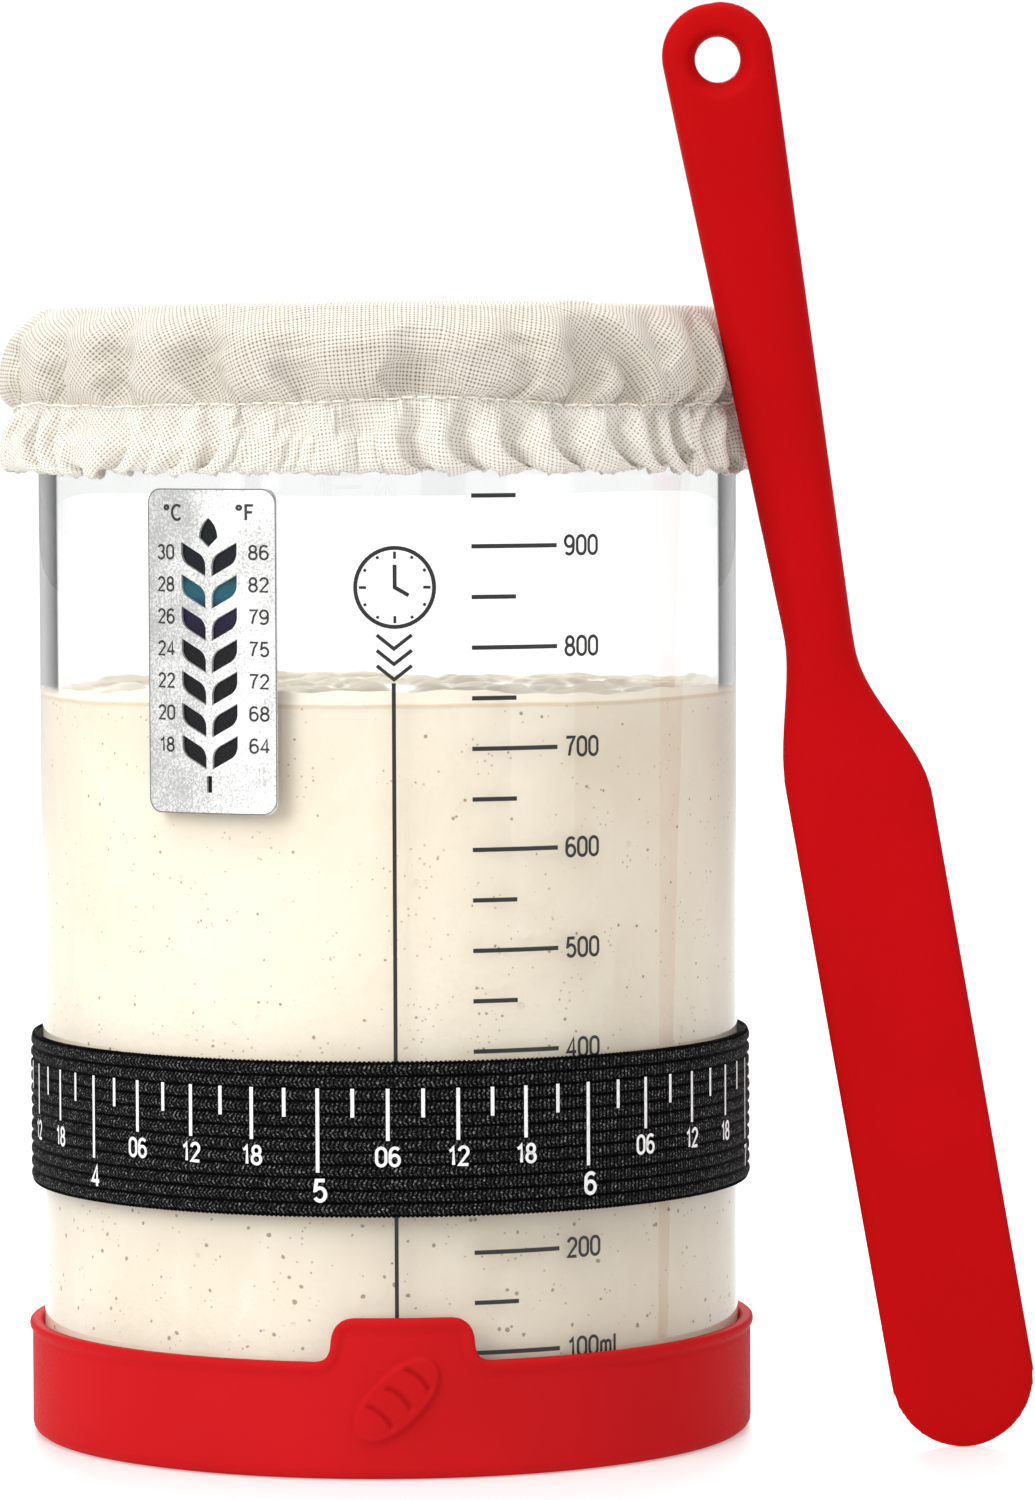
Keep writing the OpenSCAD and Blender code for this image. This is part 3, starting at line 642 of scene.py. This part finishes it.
class Print:
    """Strokes laid out on an unrolled cylinder, in millimetres, and wrapped round it."""

    def __init__(self, radius):
        self.radius, self.points, self.faces = radius, [], []

    def stroke(self, line, width):
        line = np.array(line, float)
        spans = [np.linspace(a, b, 2 + int(abs(b[0] - a[0]) / 1.2))[:-1] for a, b in zip(line, line[1:])]
        line = np.concatenate([*spans, line[-1:]])
        step = np.diff(line, axis=0)
        step /= np.maximum(np.hypot(*step.T), 1e-9)[:, None]
        if np.allclose(line[0], line[-1]):
            step = np.concatenate([step[-1:], step, step[:1]])
        else:
            step = np.concatenate([step[:1], step, step[-1:]])
        before, after = step[:-1], step[1:]
        normal = np.stack([-(before + after)[:, 1], (before + after)[:, 0]], -1)
        normal /= np.maximum(np.hypot(*normal.T), 0.2)[:, None]
        lean = np.abs((normal * np.stack([-after[:, 1], after[:, 0]], -1)).sum(1))
        spread = np.clip(1 / np.maximum(lean, 0.5), 1, 1.6)
        first = len(self.points)
        for place, n, grow in zip(line, normal, spread):
            self.points += [place - n * width / 2 * grow, place + n * width / 2 * grow]
        self.faces += [[first + 2 * k, first + 2 * k + 2, first + 2 * k + 3, first + 2 * k + 1]
                       for k in range(len(line) - 1)]

    def tick(self, x0, x1, z, width):
        self.stroke([(x0, z), (x1, z)], width)

    def write(self, text, x, z, height, width, squeeze=1.0, align=0.0):
        """Text whose left end, middle or right end (align 0, 0.5, 1) is at x, its foot at z."""
        gap = 0.16
        span = sum(WIDTHS.get(c, .55) for c in text) + gap * (len(text) - 1)
        x -= align * span * height * squeeze
        for c in text:
            for line in DIGITS[c]:
                self.stroke([(x + px * height * squeeze, z + pz * height) for px, pz in line], width)
            x += (WIDTHS.get(c, .55) + gap) * height * squeeze

    def piece(self, name, finish, body, shift=0.0):
        s, z = np.array(self.points).T
        return wear(build(name, wrapped(s + shift, z, self.radius), self.faces), finish, body)


def ink(name, colour, rough=0.4):
    finish = Finish(name, Roughness=rough)
    spot = finish.noise(finish.place(), 1.5, 3)
    dark = tuple(c * 0.8 for c in colour)
    finish.set("Base Color", finish.colour(spot.step(0.3, 0.7), colour, dark))
    finish.set("Roughness", spot.step(0.3, 0.7, rough - 0.05, rough + 0.1))
    return finish


black_ink = ink("black_ink", (0.012, 0.012, 0.012))
white_ink = ink("white_ink", (0.9, 0.9, 0.9), 0.6)

# %% The volume scale and the pointer line
ON_TOP, ML_ZERO, ML_HIGH = 0.03, 3.3, 0.1387
scale = Print(GLASS_R + ON_TOP)
for volume in range(100, 951, 50):
    height = ML_ZERO + ML_HIGH * volume
    long = volume % 100 == 0
    scale.tick(11.5, 24.1 if long else 17.9, height, 0.6)
    if long:
        label = str(volume) + ("ml" if volume == 100 else "")
        scale.write(label, 25.4, height - 1.35, 2.7, 0.43)
scale.stroke([(0.7, 19), (0.7, 109.5)], 0.55)
print("volume scale drawn")

# %% [markdown]
# Over the pointer line the real jar carries a drawing. A plain clock face stands here instead,
# for the hour of the last feed, with three chevrons under it.

# %% The clock over the pointer line
cx, cz, cr = 0.9, 122.6, 5.4
scale.stroke(bow(cx, cz, cr, cr, 0, 360, 49), 0.55)
for hour in range(12):
    a = math.radians(30 * hour)
    ends = (cr - (1.5 if hour % 3 == 0 else 0.9), cr - 0.5)
    scale.stroke([(cx + r * math.sin(a), cz + r * math.cos(a)) for r in ends], 0.4)
scale.stroke([(cx, cz + 3.1), (cx, cz), (cx + 1.9, cz - 1.1)], 0.55)
for k in range(3):
    foot = 110 + k * 2.1
    scale.stroke([(0.8 - 2.4, foot + 1.9), (0.75, foot), (0.8 + 2.4, foot + 1.9)], 0.5)
scale.piece("volume_print", black_ink, "jar")

# %% [markdown]
# ## The thermometer strip
# The strip is a silver film with leaf-shaped windows over a black-backed crystal layer. The
# crystals colour where the jar is at that temperature: the second row down is blue-green and
# the third violet, and the rest stay black.

# %% The strip's finishes
STRIP_TURN, STRIP_Z, STRIP_H, FILM_OUT = -28.9, 91.4, 44.7, 51.04
strip_s = math.radians(STRIP_TURN) * ROUND
film = Finish("strip_film", Metallic=0.3, Roughness=0.36)
at = film.place()
grain = film.noise(at, 3.0, 3, 0.8)
cloudy = film.noise(at, 0.14, 2)
x, y, z = film.split(at)
# Painted reflection and shade: grey mottle on the silver film, more of it towards the film's left edge.
left = x.step(-31, -20, 0.8, 0.15)
painted_mottle_and_shade = (grain + cloudy * 0.35 + left * 0.2).step(0.68, 0.90)
film.set("Base Color", film.colour(painted_mottle_and_shade, (0.80, 0.805, 0.80), (0.42, 0.42, 0.41)))
film.set("Roughness", grain.step(0.3, 0.7, 0.26, 0.46))
film.bump(grain, 0.15, 0.05)
wear(nodes["thermometer_face"], film, "jar")

crystals = Finish("crystal_ink", Roughness=0.25, Specular_IOR_Level=0.12)
at = crystals.place()
z = crystals.split(at)[2]
row = (z - STRIP_Z) / STRIP_H
heat = crystals.add("ValToRGB", {"stops": [
    (0.0, (0.012, 0.012, 0.014)), (0.52, (0.012, 0.012, 0.014)), (0.58, (0.018, 0.012, 0.032)),
    (0.635, (0.02, 0.018, 0.05)), (0.665, (0.022, 0.095, 0.15)), (0.70, (0.02, 0.10, 0.12)),
    (0.745, (0.012, 0.014, 0.018))]}, [row + (crystals.noise(at, 0.3) - 0.5) * 0.02])
crystals.set("Base Color", heat)
crystals.set("Roughness", crystals.noise(at, 3).step(0.3, 0.7, 0.2, 0.35))
wear(nodes["thermometer_crystals"], crystals, "jar")

pad = Finish("pad_adhesive", Roughness=0.3)
cloud = pad.noise(pad.place(), 0.5).step(0.3, 0.7)
pad.set("Base Color", pad.colour(cloud, (0.8, 0.8, 0.78), (0.7, 0.7, 0.68)))
wear(nodes["thermometer_adhesive"], pad, "jar")
print("film, crystals and pad finished")

# %% The strip's numbers
figures = Print(FILM_OUT + ON_TOP)
for k, (cold, hot) in enumerate(zip(range(30, 17, -2), (86, 82, 79, 75, 72, 68, 64))):
    foot = STRIP_Z + STRIP_H - 9.15 - 4.42 * k - 0.55
    figures.write(str(cold), -6.9, foot, 1.98, 0.29, 1.08, 0.5)
    figures.write(str(hot), 7.5, foot, 1.98, 0.29, 1.12, 0.5)
for text, x in (("oC", -5.6), ("oF", 5.6)):
    figures.write(text, x, STRIP_Z + STRIP_H - 4.35, 2.15, 0.36, 1.25, 0.5)
figures.piece("strip_print", black_ink, "jar", strip_s)

# A fine dark line is drawn round the film's edge
dark_edge_line = Print(FILM_OUT + 0.02)
half, low, high = 7.92, STRIP_Z + 2.08, STRIP_Z + STRIP_H - 2.08
corners = []
for x, z, start in ((half, high, 0), (-half, high, 90), (-half, low, 180), (half, low, 270)):
    corners += bow(x, z, 2, 2, start, start + 90, 9)
dark_edge_line.stroke(corners + corners[:1], 0.16)
dark_edge_line.piece("strip_dark_edge", ink("dark_edge_grey", (0.16, 0.16, 0.155)), "jar", strip_s)
print("strip dressed")

# %% [markdown]
# ## The day band
# Ribbed elastic webbing: twelve ribs of knitted V stitches in black yarn, and a row of tiny
# loops along each edge. The ribs are in the mesh, the stitches are bump with a painted grey glint
# in their colour, and each edge is a cord whose thickness beats once for every loop.

# %% The webbing's finish
BAND_Z, BAND_H, RIBS, BAND_IN, BAND_OUT = 36.5, 21.0, 12, 50.3, 51.75
webbing = Finish("webbing_black", Roughness=0.75, Specular_IOR_Level=0.02)
at = webbing.place()
x, y, z = webbing.split(at)
column = x.math("ARCTAN2", y) * (ROUND / 0.62)
rib_in = ((z - BAND_Z) * (RIBS / BAND_H)).math("FRACT")
vee = (column + abs(rib_in - 0.5) * 1.3).math("FRACT")
stitch = abs(vee - 0.5).step(0.42, 0.12)
valley = abs(rib_in - 0.5).step(0.46, 0.3)
loop = stitch * valley
# Painted highlight: grey glints on the stitches' loops, in the base colour.
glint = webbing.noise(webbing.stretch(at, 1, 1, 1.3), 2.6, 3, 0.75).step(0.52, 0.66)
painted_glint = loop * (glint * 0.96 + 0.04)
webbing.set("Base Color", webbing.colour(painted_glint, (0.0012, 0.0012, 0.0016), (0.30, 0.30, 0.305)))
webbing.set("Roughness", webbing.noise(at, 4).step(0.3, 0.7, 0.5, 0.75))
webbing.bump(loop + glint * 0.3, 0.8, 0.18)

# %% The webbing
a = angles(1080)
s = a * ROUND
rows = [wrapped(s, BAND_Z, BAND_IN + 0.05), wrapped(s, BAND_Z - 0.1, BAND_IN + 0.5)]
for t in np.linspace(0, RIBS, RIBS * 6 + 1):
    groove = 0.55 if t in (0, RIBS) else 0.42 * abs(math.cos(math.pi * t)) ** 4
    wander = 0.05 * np.sin(a * 9 + t) + 0.03 * np.sin(a * 23 - 2 * t)
    rows.append(wrapped(s, BAND_Z + t * BAND_H / RIBS, BAND_OUT - groove + wander * 0.6))
rows += [wrapped(s, BAND_Z + BAND_H + 0.1, BAND_IN + 0.5), wrapped(s, BAND_Z + BAND_H, BAND_IN + 0.05)]
rows.append(rows[0])
band = surface("band_webbing_knit", np.array(rows))
wear(band, webbing, "band")
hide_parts("band_webbing")

# %% The looped edges
LOOPS, EDGE_CORD_R = 489, 51.05
a = angles(LOOPS * 5)
beat = 0.22 + 0.2 * np.abs(np.sin(a * LOOPS / 2))
for name, height in (("lower", BAND_Z + 0.12), ("upper", BAND_Z + BAND_H - 0.12)):
    grid = np.array([wrapped(a * ROUND, height + beat * math.sin(b), EDGE_CORD_R + beat * math.cos(b) * 1.3)
                     for b in angles(8)])
    edge = surface(f"band_edge_{name}", np.concatenate([grid, grid[:1]]))
    wear(edge, webbing, "band")
print("band of", RIBS, "ribs with", LOOPS, "loops on each edge")

# %% The band's scale
days = Print(BAND_OUT + 0.09)
midnights = {1: -182, 2: -139, 3: -96, 4: -53.2, 5: -11.2, 6: 31.7, 7: 77.2, 8: 120}


def band_place(day):
    """Arc length of a time on the band, in days: the elastic is stretched unevenly."""
    return math.radians(np.interp(day, list(midnights), list(midnights.values()))) * ROUND


for day in range(1, 8):
    for step in range(8):
        place = band_place(day + step / 8)
        foot = 42.5 if step == 0 else 46.9 if step % 2 == 0 else 50.1
        days.stroke([(place, foot), (place, 54.07)], 0.5)
        if step and step % 2 == 0:
            days.write({2: "06", 4: "12", 6: "18"}[step], place, 43.4, 2.6, 0.42, 0.95, 0.5)
    days.write(str(day), band_place(day) + 0.3, 38.5, 3.0, 0.5, 1.0, 0.5)
days.piece("band_print", white_ink, "band")
print("band numbered for seven days")

# %% [markdown]
# ## Inside pieces
# These hardly show, but they come into view when the lid is lifted or the band is taken off.

# %% Lid, liner, elastic and cores
spun_metal = Finish("lid_metal", Metallic=1.0, Roughness=0.3)
at = spun_metal.place()
x, y, z = spun_metal.split(at)
ring = (x * x + y * y) ** 0.5
lathe = spun_metal.add("TexNoise", {"noise_dimensions": "2D"}, {
    "Vector": spun_metal.add("CombineXYZ", inputs=[ring, z]), "Scale": 5.0, "Detail": 3.0})
spun_metal.set("Base Color", spun_metal.colour(lathe, (0.78, 0.78, 0.79), (0.66, 0.66, 0.67)))
spun_metal.set("Roughness", lathe.step(0.3, 0.7, 0.24, 0.4))
spun_metal.bump(lathe, 0.2, 0.05)
wear(nodes["lid_shell"], spun_metal, "lid")


def plain(name, light, dark, size, rough, height):
    finish = Finish(name)
    grain = finish.noise(finish.place(), size, 4, 0.6)
    finish.set("Base Color", finish.colour(grain.step(0.3, 0.7), light, dark))
    finish.set("Roughness", grain.step(0.3, 0.7, rough - 0.08, rough + 0.08))
    finish.bump(grain, 0.3, height)
    return finish


for node, body, slot, *look in (
        ("lid_liner", "lid_seal", "liner_foam",
         "liner_foam_white", (0.92, 0.92, 0.9), (0.82, 0.82, 0.8), 2.5, 0.7, 0.1),
        ("band_rubber_core", "band_core", "band_rubber",
         "band_rubber_dark", (0.05, 0.05, 0.05), (0.03, 0.03, 0.03), 1.2, 0.6, 0.05),
        ("cover_elastic", "cover", "elastic",
         "elastic_braid", (0.88, 0.85, 0.78), (0.72, 0.69, 0.62), 3.0, 0.8, 0.15),
        ("spatula_core", "spatula", "core_nylon",
         "core_nylon_grey", (0.24, 0.24, 0.25), (0.16, 0.16, 0.17), 1.5, 0.5, 0.04)):
    wear(nodes[node], plain(*look), body)
print("inside pieces finished")

# %% [markdown]
# ## The linen cover
# A round cloth with an elastic in a casing round its edge. The cloth is a flat disc before it is
# gathered, so its weave is drawn in the flat disc's coordinates, which are kept as the mesh's UV.

# %% The linen's weave
PITCH, STITCH_RHO = 0.54, 64.2
linen = Finish("linen_plain_weave", Roughness=0.85, Sheen_Weight=0.2, Sheen_Roughness=0.6)
flat = linen.add("TexCoord", output=2)
slub_a = linen.noise(linen.stretch(flat, 0.02, 1.1, 1), 1.0, 2) - 0.5
slub_b = linen.noise(linen.stretch(flat, 1.1, 0.02, 1), 1.0, 2) - 0.5
u, v = linen.split(flat)[:2]
u = u / PITCH + slub_b * 0.8
v = v / PITCH + slub_a * 0.8
wave_u, wave_v = (u * math.pi).math("SINE"), (v * math.pi).math("SINE")
across, down = abs(wave_u), abs(wave_v)
over = (wave_u * wave_v) > 0.0
crest = over * (across * 0.6 + down * 0.4) + (1 - over) * (down * 0.6 + across * 0.4)
hole = ((1 - across) * (1 - down)).step(0.26, 0.56)
fibre = linen.noise(flat, 2.2, 4, 0.7)
tone = linen.noise(flat, 0.05, 3)
yarn = linen.colour(tone.step(0.3, 0.7), (0.77, 0.735, 0.67), (0.71, 0.665, 0.585))
# In the casing the cloth lies double, so less light is lost through its holes
double = ((u * u + v * v) ** 0.5 * PITCH).step(STITCH_RHO - 0.4, STITCH_RHO + 0.8)
# Painted shade: the yarn is darker where a thread dips under its neighbour.
yarn = linen.colour(crest.step(0.25, 0.85) * 0.8, (0.50, 0.44, 0.35), yarn)
yarn = linen.colour(double * 0.7, yarn, (0.90, 0.86, 0.79))
yarn = linen.colour(fibre.step(0.5, 0.8) * 0.25, yarn, (0.86, 0.83, 0.77))
# Painted shade: the holes between the threads are dark brown, for the shade under the cloth seen through
# them.
linen.set("Base Color", linen.colour(hole * (0.92 - double * 0.12), yarn, (0.12, 0.085, 0.05)))
linen.set("Roughness", fibre.step(0.3, 0.7, 0.75, 0.95))
linen.bump(crest - hole * 0.6 + fibre * 0.2, 0.7, 0.16)
print("weave of", round(10 / PITCH), "threads to the centimetre")

# %% [markdown]
# ## Gathering the cloth
# A gathered edge can't be drawn by a formula and look right, so the cloth is let fall into place.
# It starts as a net of points on the flat disc. Each pass draws the elastic in a little, then
# moves the points until the threads have their own length again and no point is inside the lid,
# the glass or the spatula's handle. The surplus cloth has nowhere to go but outwards, and folds.

# %% The cloth as a net
SPOKES, STEP = 720, 0.75
PIN_RHO, HEM_RHO = 40.0, 75.2
STITCH_Z, HEM_Z = 147.8, 138.2
rng = np.random.default_rng(SEED)
rho = np.arange(PIN_RHO, HEM_RHO + STEP / 2, STEP)
RINGS = len(rho)
spoke = angles(SPOKES)
point = np.arange(RINGS * SPOKES).reshape(RINGS, SPOKES)


def uneven(count, spread):
    """A wave with so many crests round the cloth, no two of them equally wide or high."""
    widths = rng.uniform(1 - spread, 1 + spread, count)
    edges = np.concatenate([[0], np.cumsum(widths) / widths.sum()]) * 2 * math.pi
    phase = np.interp(spoke, edges, np.arange(count + 1))
    crests = edges[:-1] + math.pi / count
    heights = np.interp(spoke, crests, rng.uniform(0.4, 1, count), period=2 * math.pi)
    return np.cos(2 * math.pi * phase) * heights


folds, gathers, crimps = uneven(27, 0.45), uneven(50, 0.45), uneven(120, 0.4)
print("net of", point.size, "points")


# %% Its threads
def ties(ring_step, spoke_step, strength, slack=1.0, push=False):
    """Pairs of points and their flat distance, in two sets in which no point comes twice."""
    near, far = point[:RINGS - ring_step], np.roll(point[ring_step:], -spoke_step, 1)
    flat = [np.stack([rho[p // SPOKES] * np.cos(spoke[p % SPOKES]),
                      rho[p // SPOKES] * np.sin(spoke[p % SPOKES])], -1) for p in (near, far)]
    rest = np.linalg.norm(flat[0] - flat[1], axis=-1) * slack
    if ring_step:
        first = np.arange(len(near))[:, None] % (2 * ring_step) < ring_step
    else:
        first = np.arange(SPOKES)[None] % (2 * spoke_step) < spoke_step
        # The seam's own thread puckers the cloth more finely than this net can show
        rest *= 1 - 0.10 * np.exp(-((rho - STITCH_RHO) / 1.3) ** 2)[:, None]
    first = np.broadcast_to(first, near.shape)
    return [(near[m], far[m], rest[m], strength, push) for m in (first, ~first)]


threads = (ties(0, 1, 0.9, 0.97) + ties(1, 0, 0.9) + ties(1, 1, 0.25) + ties(1, -1, 0.25)
           + ties(0, 5, 0.25, 0.80, True) + ties(3, 0, 0.5, 0.98, True) + ties(7, 0, 0.3, 0.94, True))
print("threads in", len(threads), "sets")
free = np.ones(RINGS * SPOKES)
free[point[:3]] = 0


def tighten(p):
    """Moves each pair towards its own distance. Pairs that stand for stiffness only push apart."""
    for near, far, rest, strength, push in threads:
        gap = p[far] - p[near]
        size = np.sqrt(np.einsum("ij,ij->i", gap, gap)) + 1e-9
        off = (size - rest) / size
        if push:
            off = np.minimum(off, 0)
        move = gap * (off * strength / (free[near] + free[far] + 1e-9))[:, None]
        p[near] += move * free[near][:, None]
        p[far] -= move * free[far][:, None]
    return p


# %% What it lies against
EDGE_R, EDGE_Z, EDGE = 47.2, 158.6, 2.6
COS, SIN = math.cos(math.radians(LEAN)), math.sin(math.radians(LEAN))


def keep_off(p, widest):
    """Off the lid and its rounded edge, the glass and the spatula, and no wider than allowed."""
    r, z = np.hypot(p[:, 0], p[:, 1]), p[:, 2]
    out, up = r - EDGE_R, z - EDGE_Z
    away = np.hypot(out, up) + 1e-9
    corner = (out > 0) & (up > 0)
    push = np.where(corner & (away < EDGE), EDGE / away, 1)
    new_r = np.where(corner, EDGE_R + out * push, r)
    new_z = np.where(corner, EDGE_Z + up * push, z)
    new_z = np.minimum(np.where(out <= 0, np.maximum(new_z, EDGE_Z + EDGE), new_z), 161.8)
    new_r = np.where(up <= 0, np.maximum(new_r, np.where(new_z < 147, 51.25, 49.9)), new_r)
    scale = mix(1, np.minimum(new_r, widest) / r, free)
    p = np.stack([p[:, 0] * scale, p[:, 1] * scale, mix(z, new_z, free)], -1)
    # The handle's section at the point's height, an ellipse a little larger than the silicone
    side, s = p[:, 0] - SPAT_X, p[:, 2]
    x = side * COS + s * SIN
    s = s * COS - side * SIN
    grow = (s - HANDLE) / (END - HANDLE)
    left, right = HANDLE_LEFT + GROW_LEFT * grow, HANDLE_RIGHT + GROW_RIGHT * grow
    middle, half = (right - left) / 2, (left + right) / 2 + 0.5
    deep = np.clip(1 - ((p[:, 1] - SPAT_Y) / 4.9) ** 2, 0, 1)
    limit = middle - half * np.sqrt(deep)
    inside = (deep > 0) & (x > limit) & (x < middle + half)
    p[:, 0] -= np.where(inside, x - limit, 0) / COS
    return p


def side_by_side(p):
    """Keeps folds from passing through their neighbours: spokes stay in order round the jar."""
    pitch = 2 * math.pi / SPOKES
    turned = (np.arctan2(p[:, 1], p[:, 0]) - np.tile(spoke, RINGS) + math.pi) % (2 * math.pi) - math.pi
    turned = turned.reshape(RINGS, SPOKES)
    for first in (0, 1):
        turned = np.roll(turned, -first, 1)
        one, two = turned[:, 0::2].copy(), turned[:, 1::2].copy()
        short = np.maximum(0, 0.12 * pitch - (two - one + pitch)) / 2
        turned[:, 0::2], turned[:, 1::2] = one - short, two + short
        turned = np.roll(turned, first, 1)
    at, r = (turned + spoke).ravel(), np.hypot(p[:, 0], p[:, 1])
    return np.stack([r * np.cos(at), r * np.sin(at), p[:, 2]], -1)


# %% Where it starts and where it is drawn to
slope = smooth((rho - 47) / 6)
start_r = (rho - (rho - 49) * slope * 0.45)[:, None]



def crown(q):
    """Height of the cover's slightly domed top."""
    return 162.2 - 0.9 * (q / 44) ** 2


start_z = (crown(rho) - np.maximum(rho - 48, 0) * slope * 0.86)[:, None] + 0 * spoke
start_r = start_r + smooth((rho - 50) / 14)[:, None] * (
    0.5 * folds + 0.5 * gathers * smooth((rho[:, None] - 58) / 8))
net = np.stack([start_r * np.cos(spoke), start_r * np.sin(spoke), start_z], -1).reshape(-1, 3)

stitch, hem = np.abs(rho - STITCH_RHO).argmin(), RINGS - 1
stitch_line = STITCH_Z - 0.5 * np.cos(2 * spoke) + 0.35 * np.cos(5 * spoke + 1) + 0.2 * np.cos(9 * spoke)
hem_line = HEM_Z + 0.5 - 0.5 * gathers + 0.25 * crimps
# The empty corner between lid and seam stands out a little, as stiff cloth does
stand = np.interp(rho, [47, 50.3, 53.6, 57, 60, 62.2], [47, 50.4, 52.5, 53.2, 53.2, 52.8])
upper = (rho > 47.5) & (rho < 62)
# One deep fold runs from the top edge down to the seam at the front right
crest = np.radians(-90 + np.interp(rho, [47, 52, 57, 62, 66], [33, 37, 41.5, 45, 46.5]))[:, None]
beside = ((spoke - crest + math.pi) % (2 * math.pi) - math.pi) * rho[:, None]
big_fold = np.exp(-((beside - 1.6) / 1.5) ** 2) - 1.2 * np.exp(-((beside + 1.3) / 1.5) ** 2)
big_fold *= (smooth((rho - 48) / 4) * smooth((65 - rho) / 3))[:, None]
print("seam at ring", stitch, "of", RINGS)

# %% Drawing in the elastic
passes = 520
before = net.copy()
for step in range(passes):
    drawn = float(smooth(step / (passes * 0.55)))
    net, before = net + (net - before) * 0.86 * free[:, None], net
    r, z = np.hypot(net[:, 0], net[:, 1]), net[:, 2].reshape(RINGS, SPOKES)
    grid = r.reshape(RINGS, SPOKES)
    pull, lift = np.zeros((2, RINGS, SPOKES))
    pull[stitch] = 0.5 * (mix(62, 52.1, drawn) + 0.25 * crimps + 0.15 * gathers - grid[stitch])
    pull[hem] = 0.35 * (mix(71, 52.0, drawn) + 0.7 * gathers * drawn + 0.3 * crimps - grid[hem])
    lift[stitch] = 0.3 * (mix(155, stitch_line, drawn) - z[stitch])
    lift[hem] = 0.25 * (mix(149, hem_line, drawn) - z[hem])
    if step > passes * 0.3:
        pull += big_fold * 0.06
        pull[stitch + 2:hem - 1] += 0.012 * gathers
        pull[upper] += 0.016 * (folds * 0.7 + 0.3 * gathers) + 0.1 * (stand - grid.mean(1))[upper, None]
    scale = 1 + pull.ravel() / r * free
    net = net * np.stack([scale, scale, 1 + 0 * scale], -1)
    net[:, 2] += (lift.ravel() - 0.004) * free
    net = keep_off(tighten(net), mix(80, 54.4, drawn))
    if step % 3 == 0:
        net = side_by_side(net)
net = net.reshape(RINGS, SPOKES, 3)
print("cloth settled after", passes, "passes, widest", round(float(np.hypot(*net[..., :2].T).max()), 1))


# %% A finer net, the middle of the top and the inside of the casing
def finer(grid):
    """Puts a point between every two by a cubic through its four neighbours."""
    out = np.empty((len(grid), 2 * grid.shape[1]) + grid.shape[2:])
    out[:, 0::2] = grid
    out[:, 1::2] = (9 * (grid + np.roll(grid, -1, 1)) - np.roll(grid, 1, 1) - np.roll(grid, -2, 1)) / 16
    wide = np.concatenate([2 * out[:1] - out[1:2], out, 2 * out[-1:] - out[-2:-1]])
    full = np.empty((2 * len(out) - 1,) + out.shape[1:])
    full[0::2] = out
    full[1::2] = (9 * (out[1:] + out[:-1]) - wide[:-3] - wide[3:]) / 16
    return full


flat_net = np.stack([rho[:, None] * np.cos(spoke), rho[:, None] * np.sin(spoke)], -1)
fine, flat_fine = finer(net), finer(flat_net)
around = np.arctan2(fine[0, :, 1], fine[0, :, 0])
middle_rho = np.linspace(0, 39.5, 41)
middle = [np.stack([q * np.cos(around), q * np.sin(around), crown(q) + 0 * around], -1)
          for q in middle_rho]
hem_x, hem_y, hem_z = fine[-1].T
hem_r, hem_at = np.hypot(hem_x, hem_y), np.arctan2(hem_y, hem_x)
turned_in = []
for share, up in ((0.15, -0.25), (0.4, -0.3), (0.7, 0.1), (0.9, 1.2), (1, 3), (1, 5), (1, 7), (1, 8.6)):
    r = mix(hem_r, 50.85, share)
    turned_in.append(np.stack([r * np.cos(hem_at), r * np.sin(hem_at), hem_z + up], -1))
grid = np.concatenate([np.array(middle), fine, np.array(turned_in)])
CUT_R = HEM_RHO + 9.6
inner_rho = np.linspace(HEM_RHO + 0.6, CUT_R, len(turned_in))
disc = [np.stack([q[:, None] * np.cos(around), q[:, None] * np.sin(around)], -1)
        for q in (middle_rho, inner_rho)]
flat = np.concatenate([disc[0], flat_fine, disc[1]])
# The cover sits loosely: it bulges further at the far side from the spatula
out = np.hypot(grid[..., 0], grid[..., 1])
grid[..., 0] -= 0.6 * smooth(out / 45) * (1 - grid[..., 0] / (out + 1e-6))
cover = welded("cover_linen", grid[::-1], flat=flat[::-1])
wear(cover, linen, "cover")
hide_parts("cover_cloth")
print("cover of", len(cover.data.vertices), "points")

# %% The seam's stitches
# Each stitch is a bowed tube of nine rings of eight points, closed at both ends
THREAD_R, BOW, SUNK_END, APART = 0.15, 0.38, 0.06, 10
ring = grid[len(middle) + 2 * stitch]
outward = ring * [1, 1, 0] / np.hypot(ring[:, 0], ring[:, 1])[:, None]
points, faces = [], []
for first in range(0, len(ring), APART):
    at = (first + np.linspace(0, APART * 0.78, 9)).round().astype(int) % len(ring)
    line = ring[at] + outward[at] * (np.sin(np.linspace(0, math.pi, 9))[:, None] * BOW - SUNK_END)
    start = len(points)
    for middle_at, out in zip(line, outward[at]):
        points += [middle_at + THREAD_R * (out * math.cos(b) + np.array([0, 0, 1]) * math.sin(b))
                   for b in angles(8)]
    for here in range(start, start + 64, 8):
        faces += [(here + k, here + (k + 1) % 8, here + 8 + (k + 1) % 8, here + 8 + k) for k in range(8)]
    faces += [tuple(range(start + 7, start - 1, -1)), tuple(range(start + 64, start + 72))]
cotton = plain("seam_thread", (0.94, 0.91, 0.84), (0.84, 0.79, 0.70), 3.0, 0.8, 0.1)
seam_stitches = build("cover_seam_stitches", points, faces)
wear(seam_stitches, cotton, "cover")
print("cover cut", round(2 * CUT_R), "mm across,", len(points) // 72, "stitches")

# %% [markdown]
# ## Size
# The dressed jar has to fill the same box as the CAD model, apart from the linen's folds.

print("jar dressed")
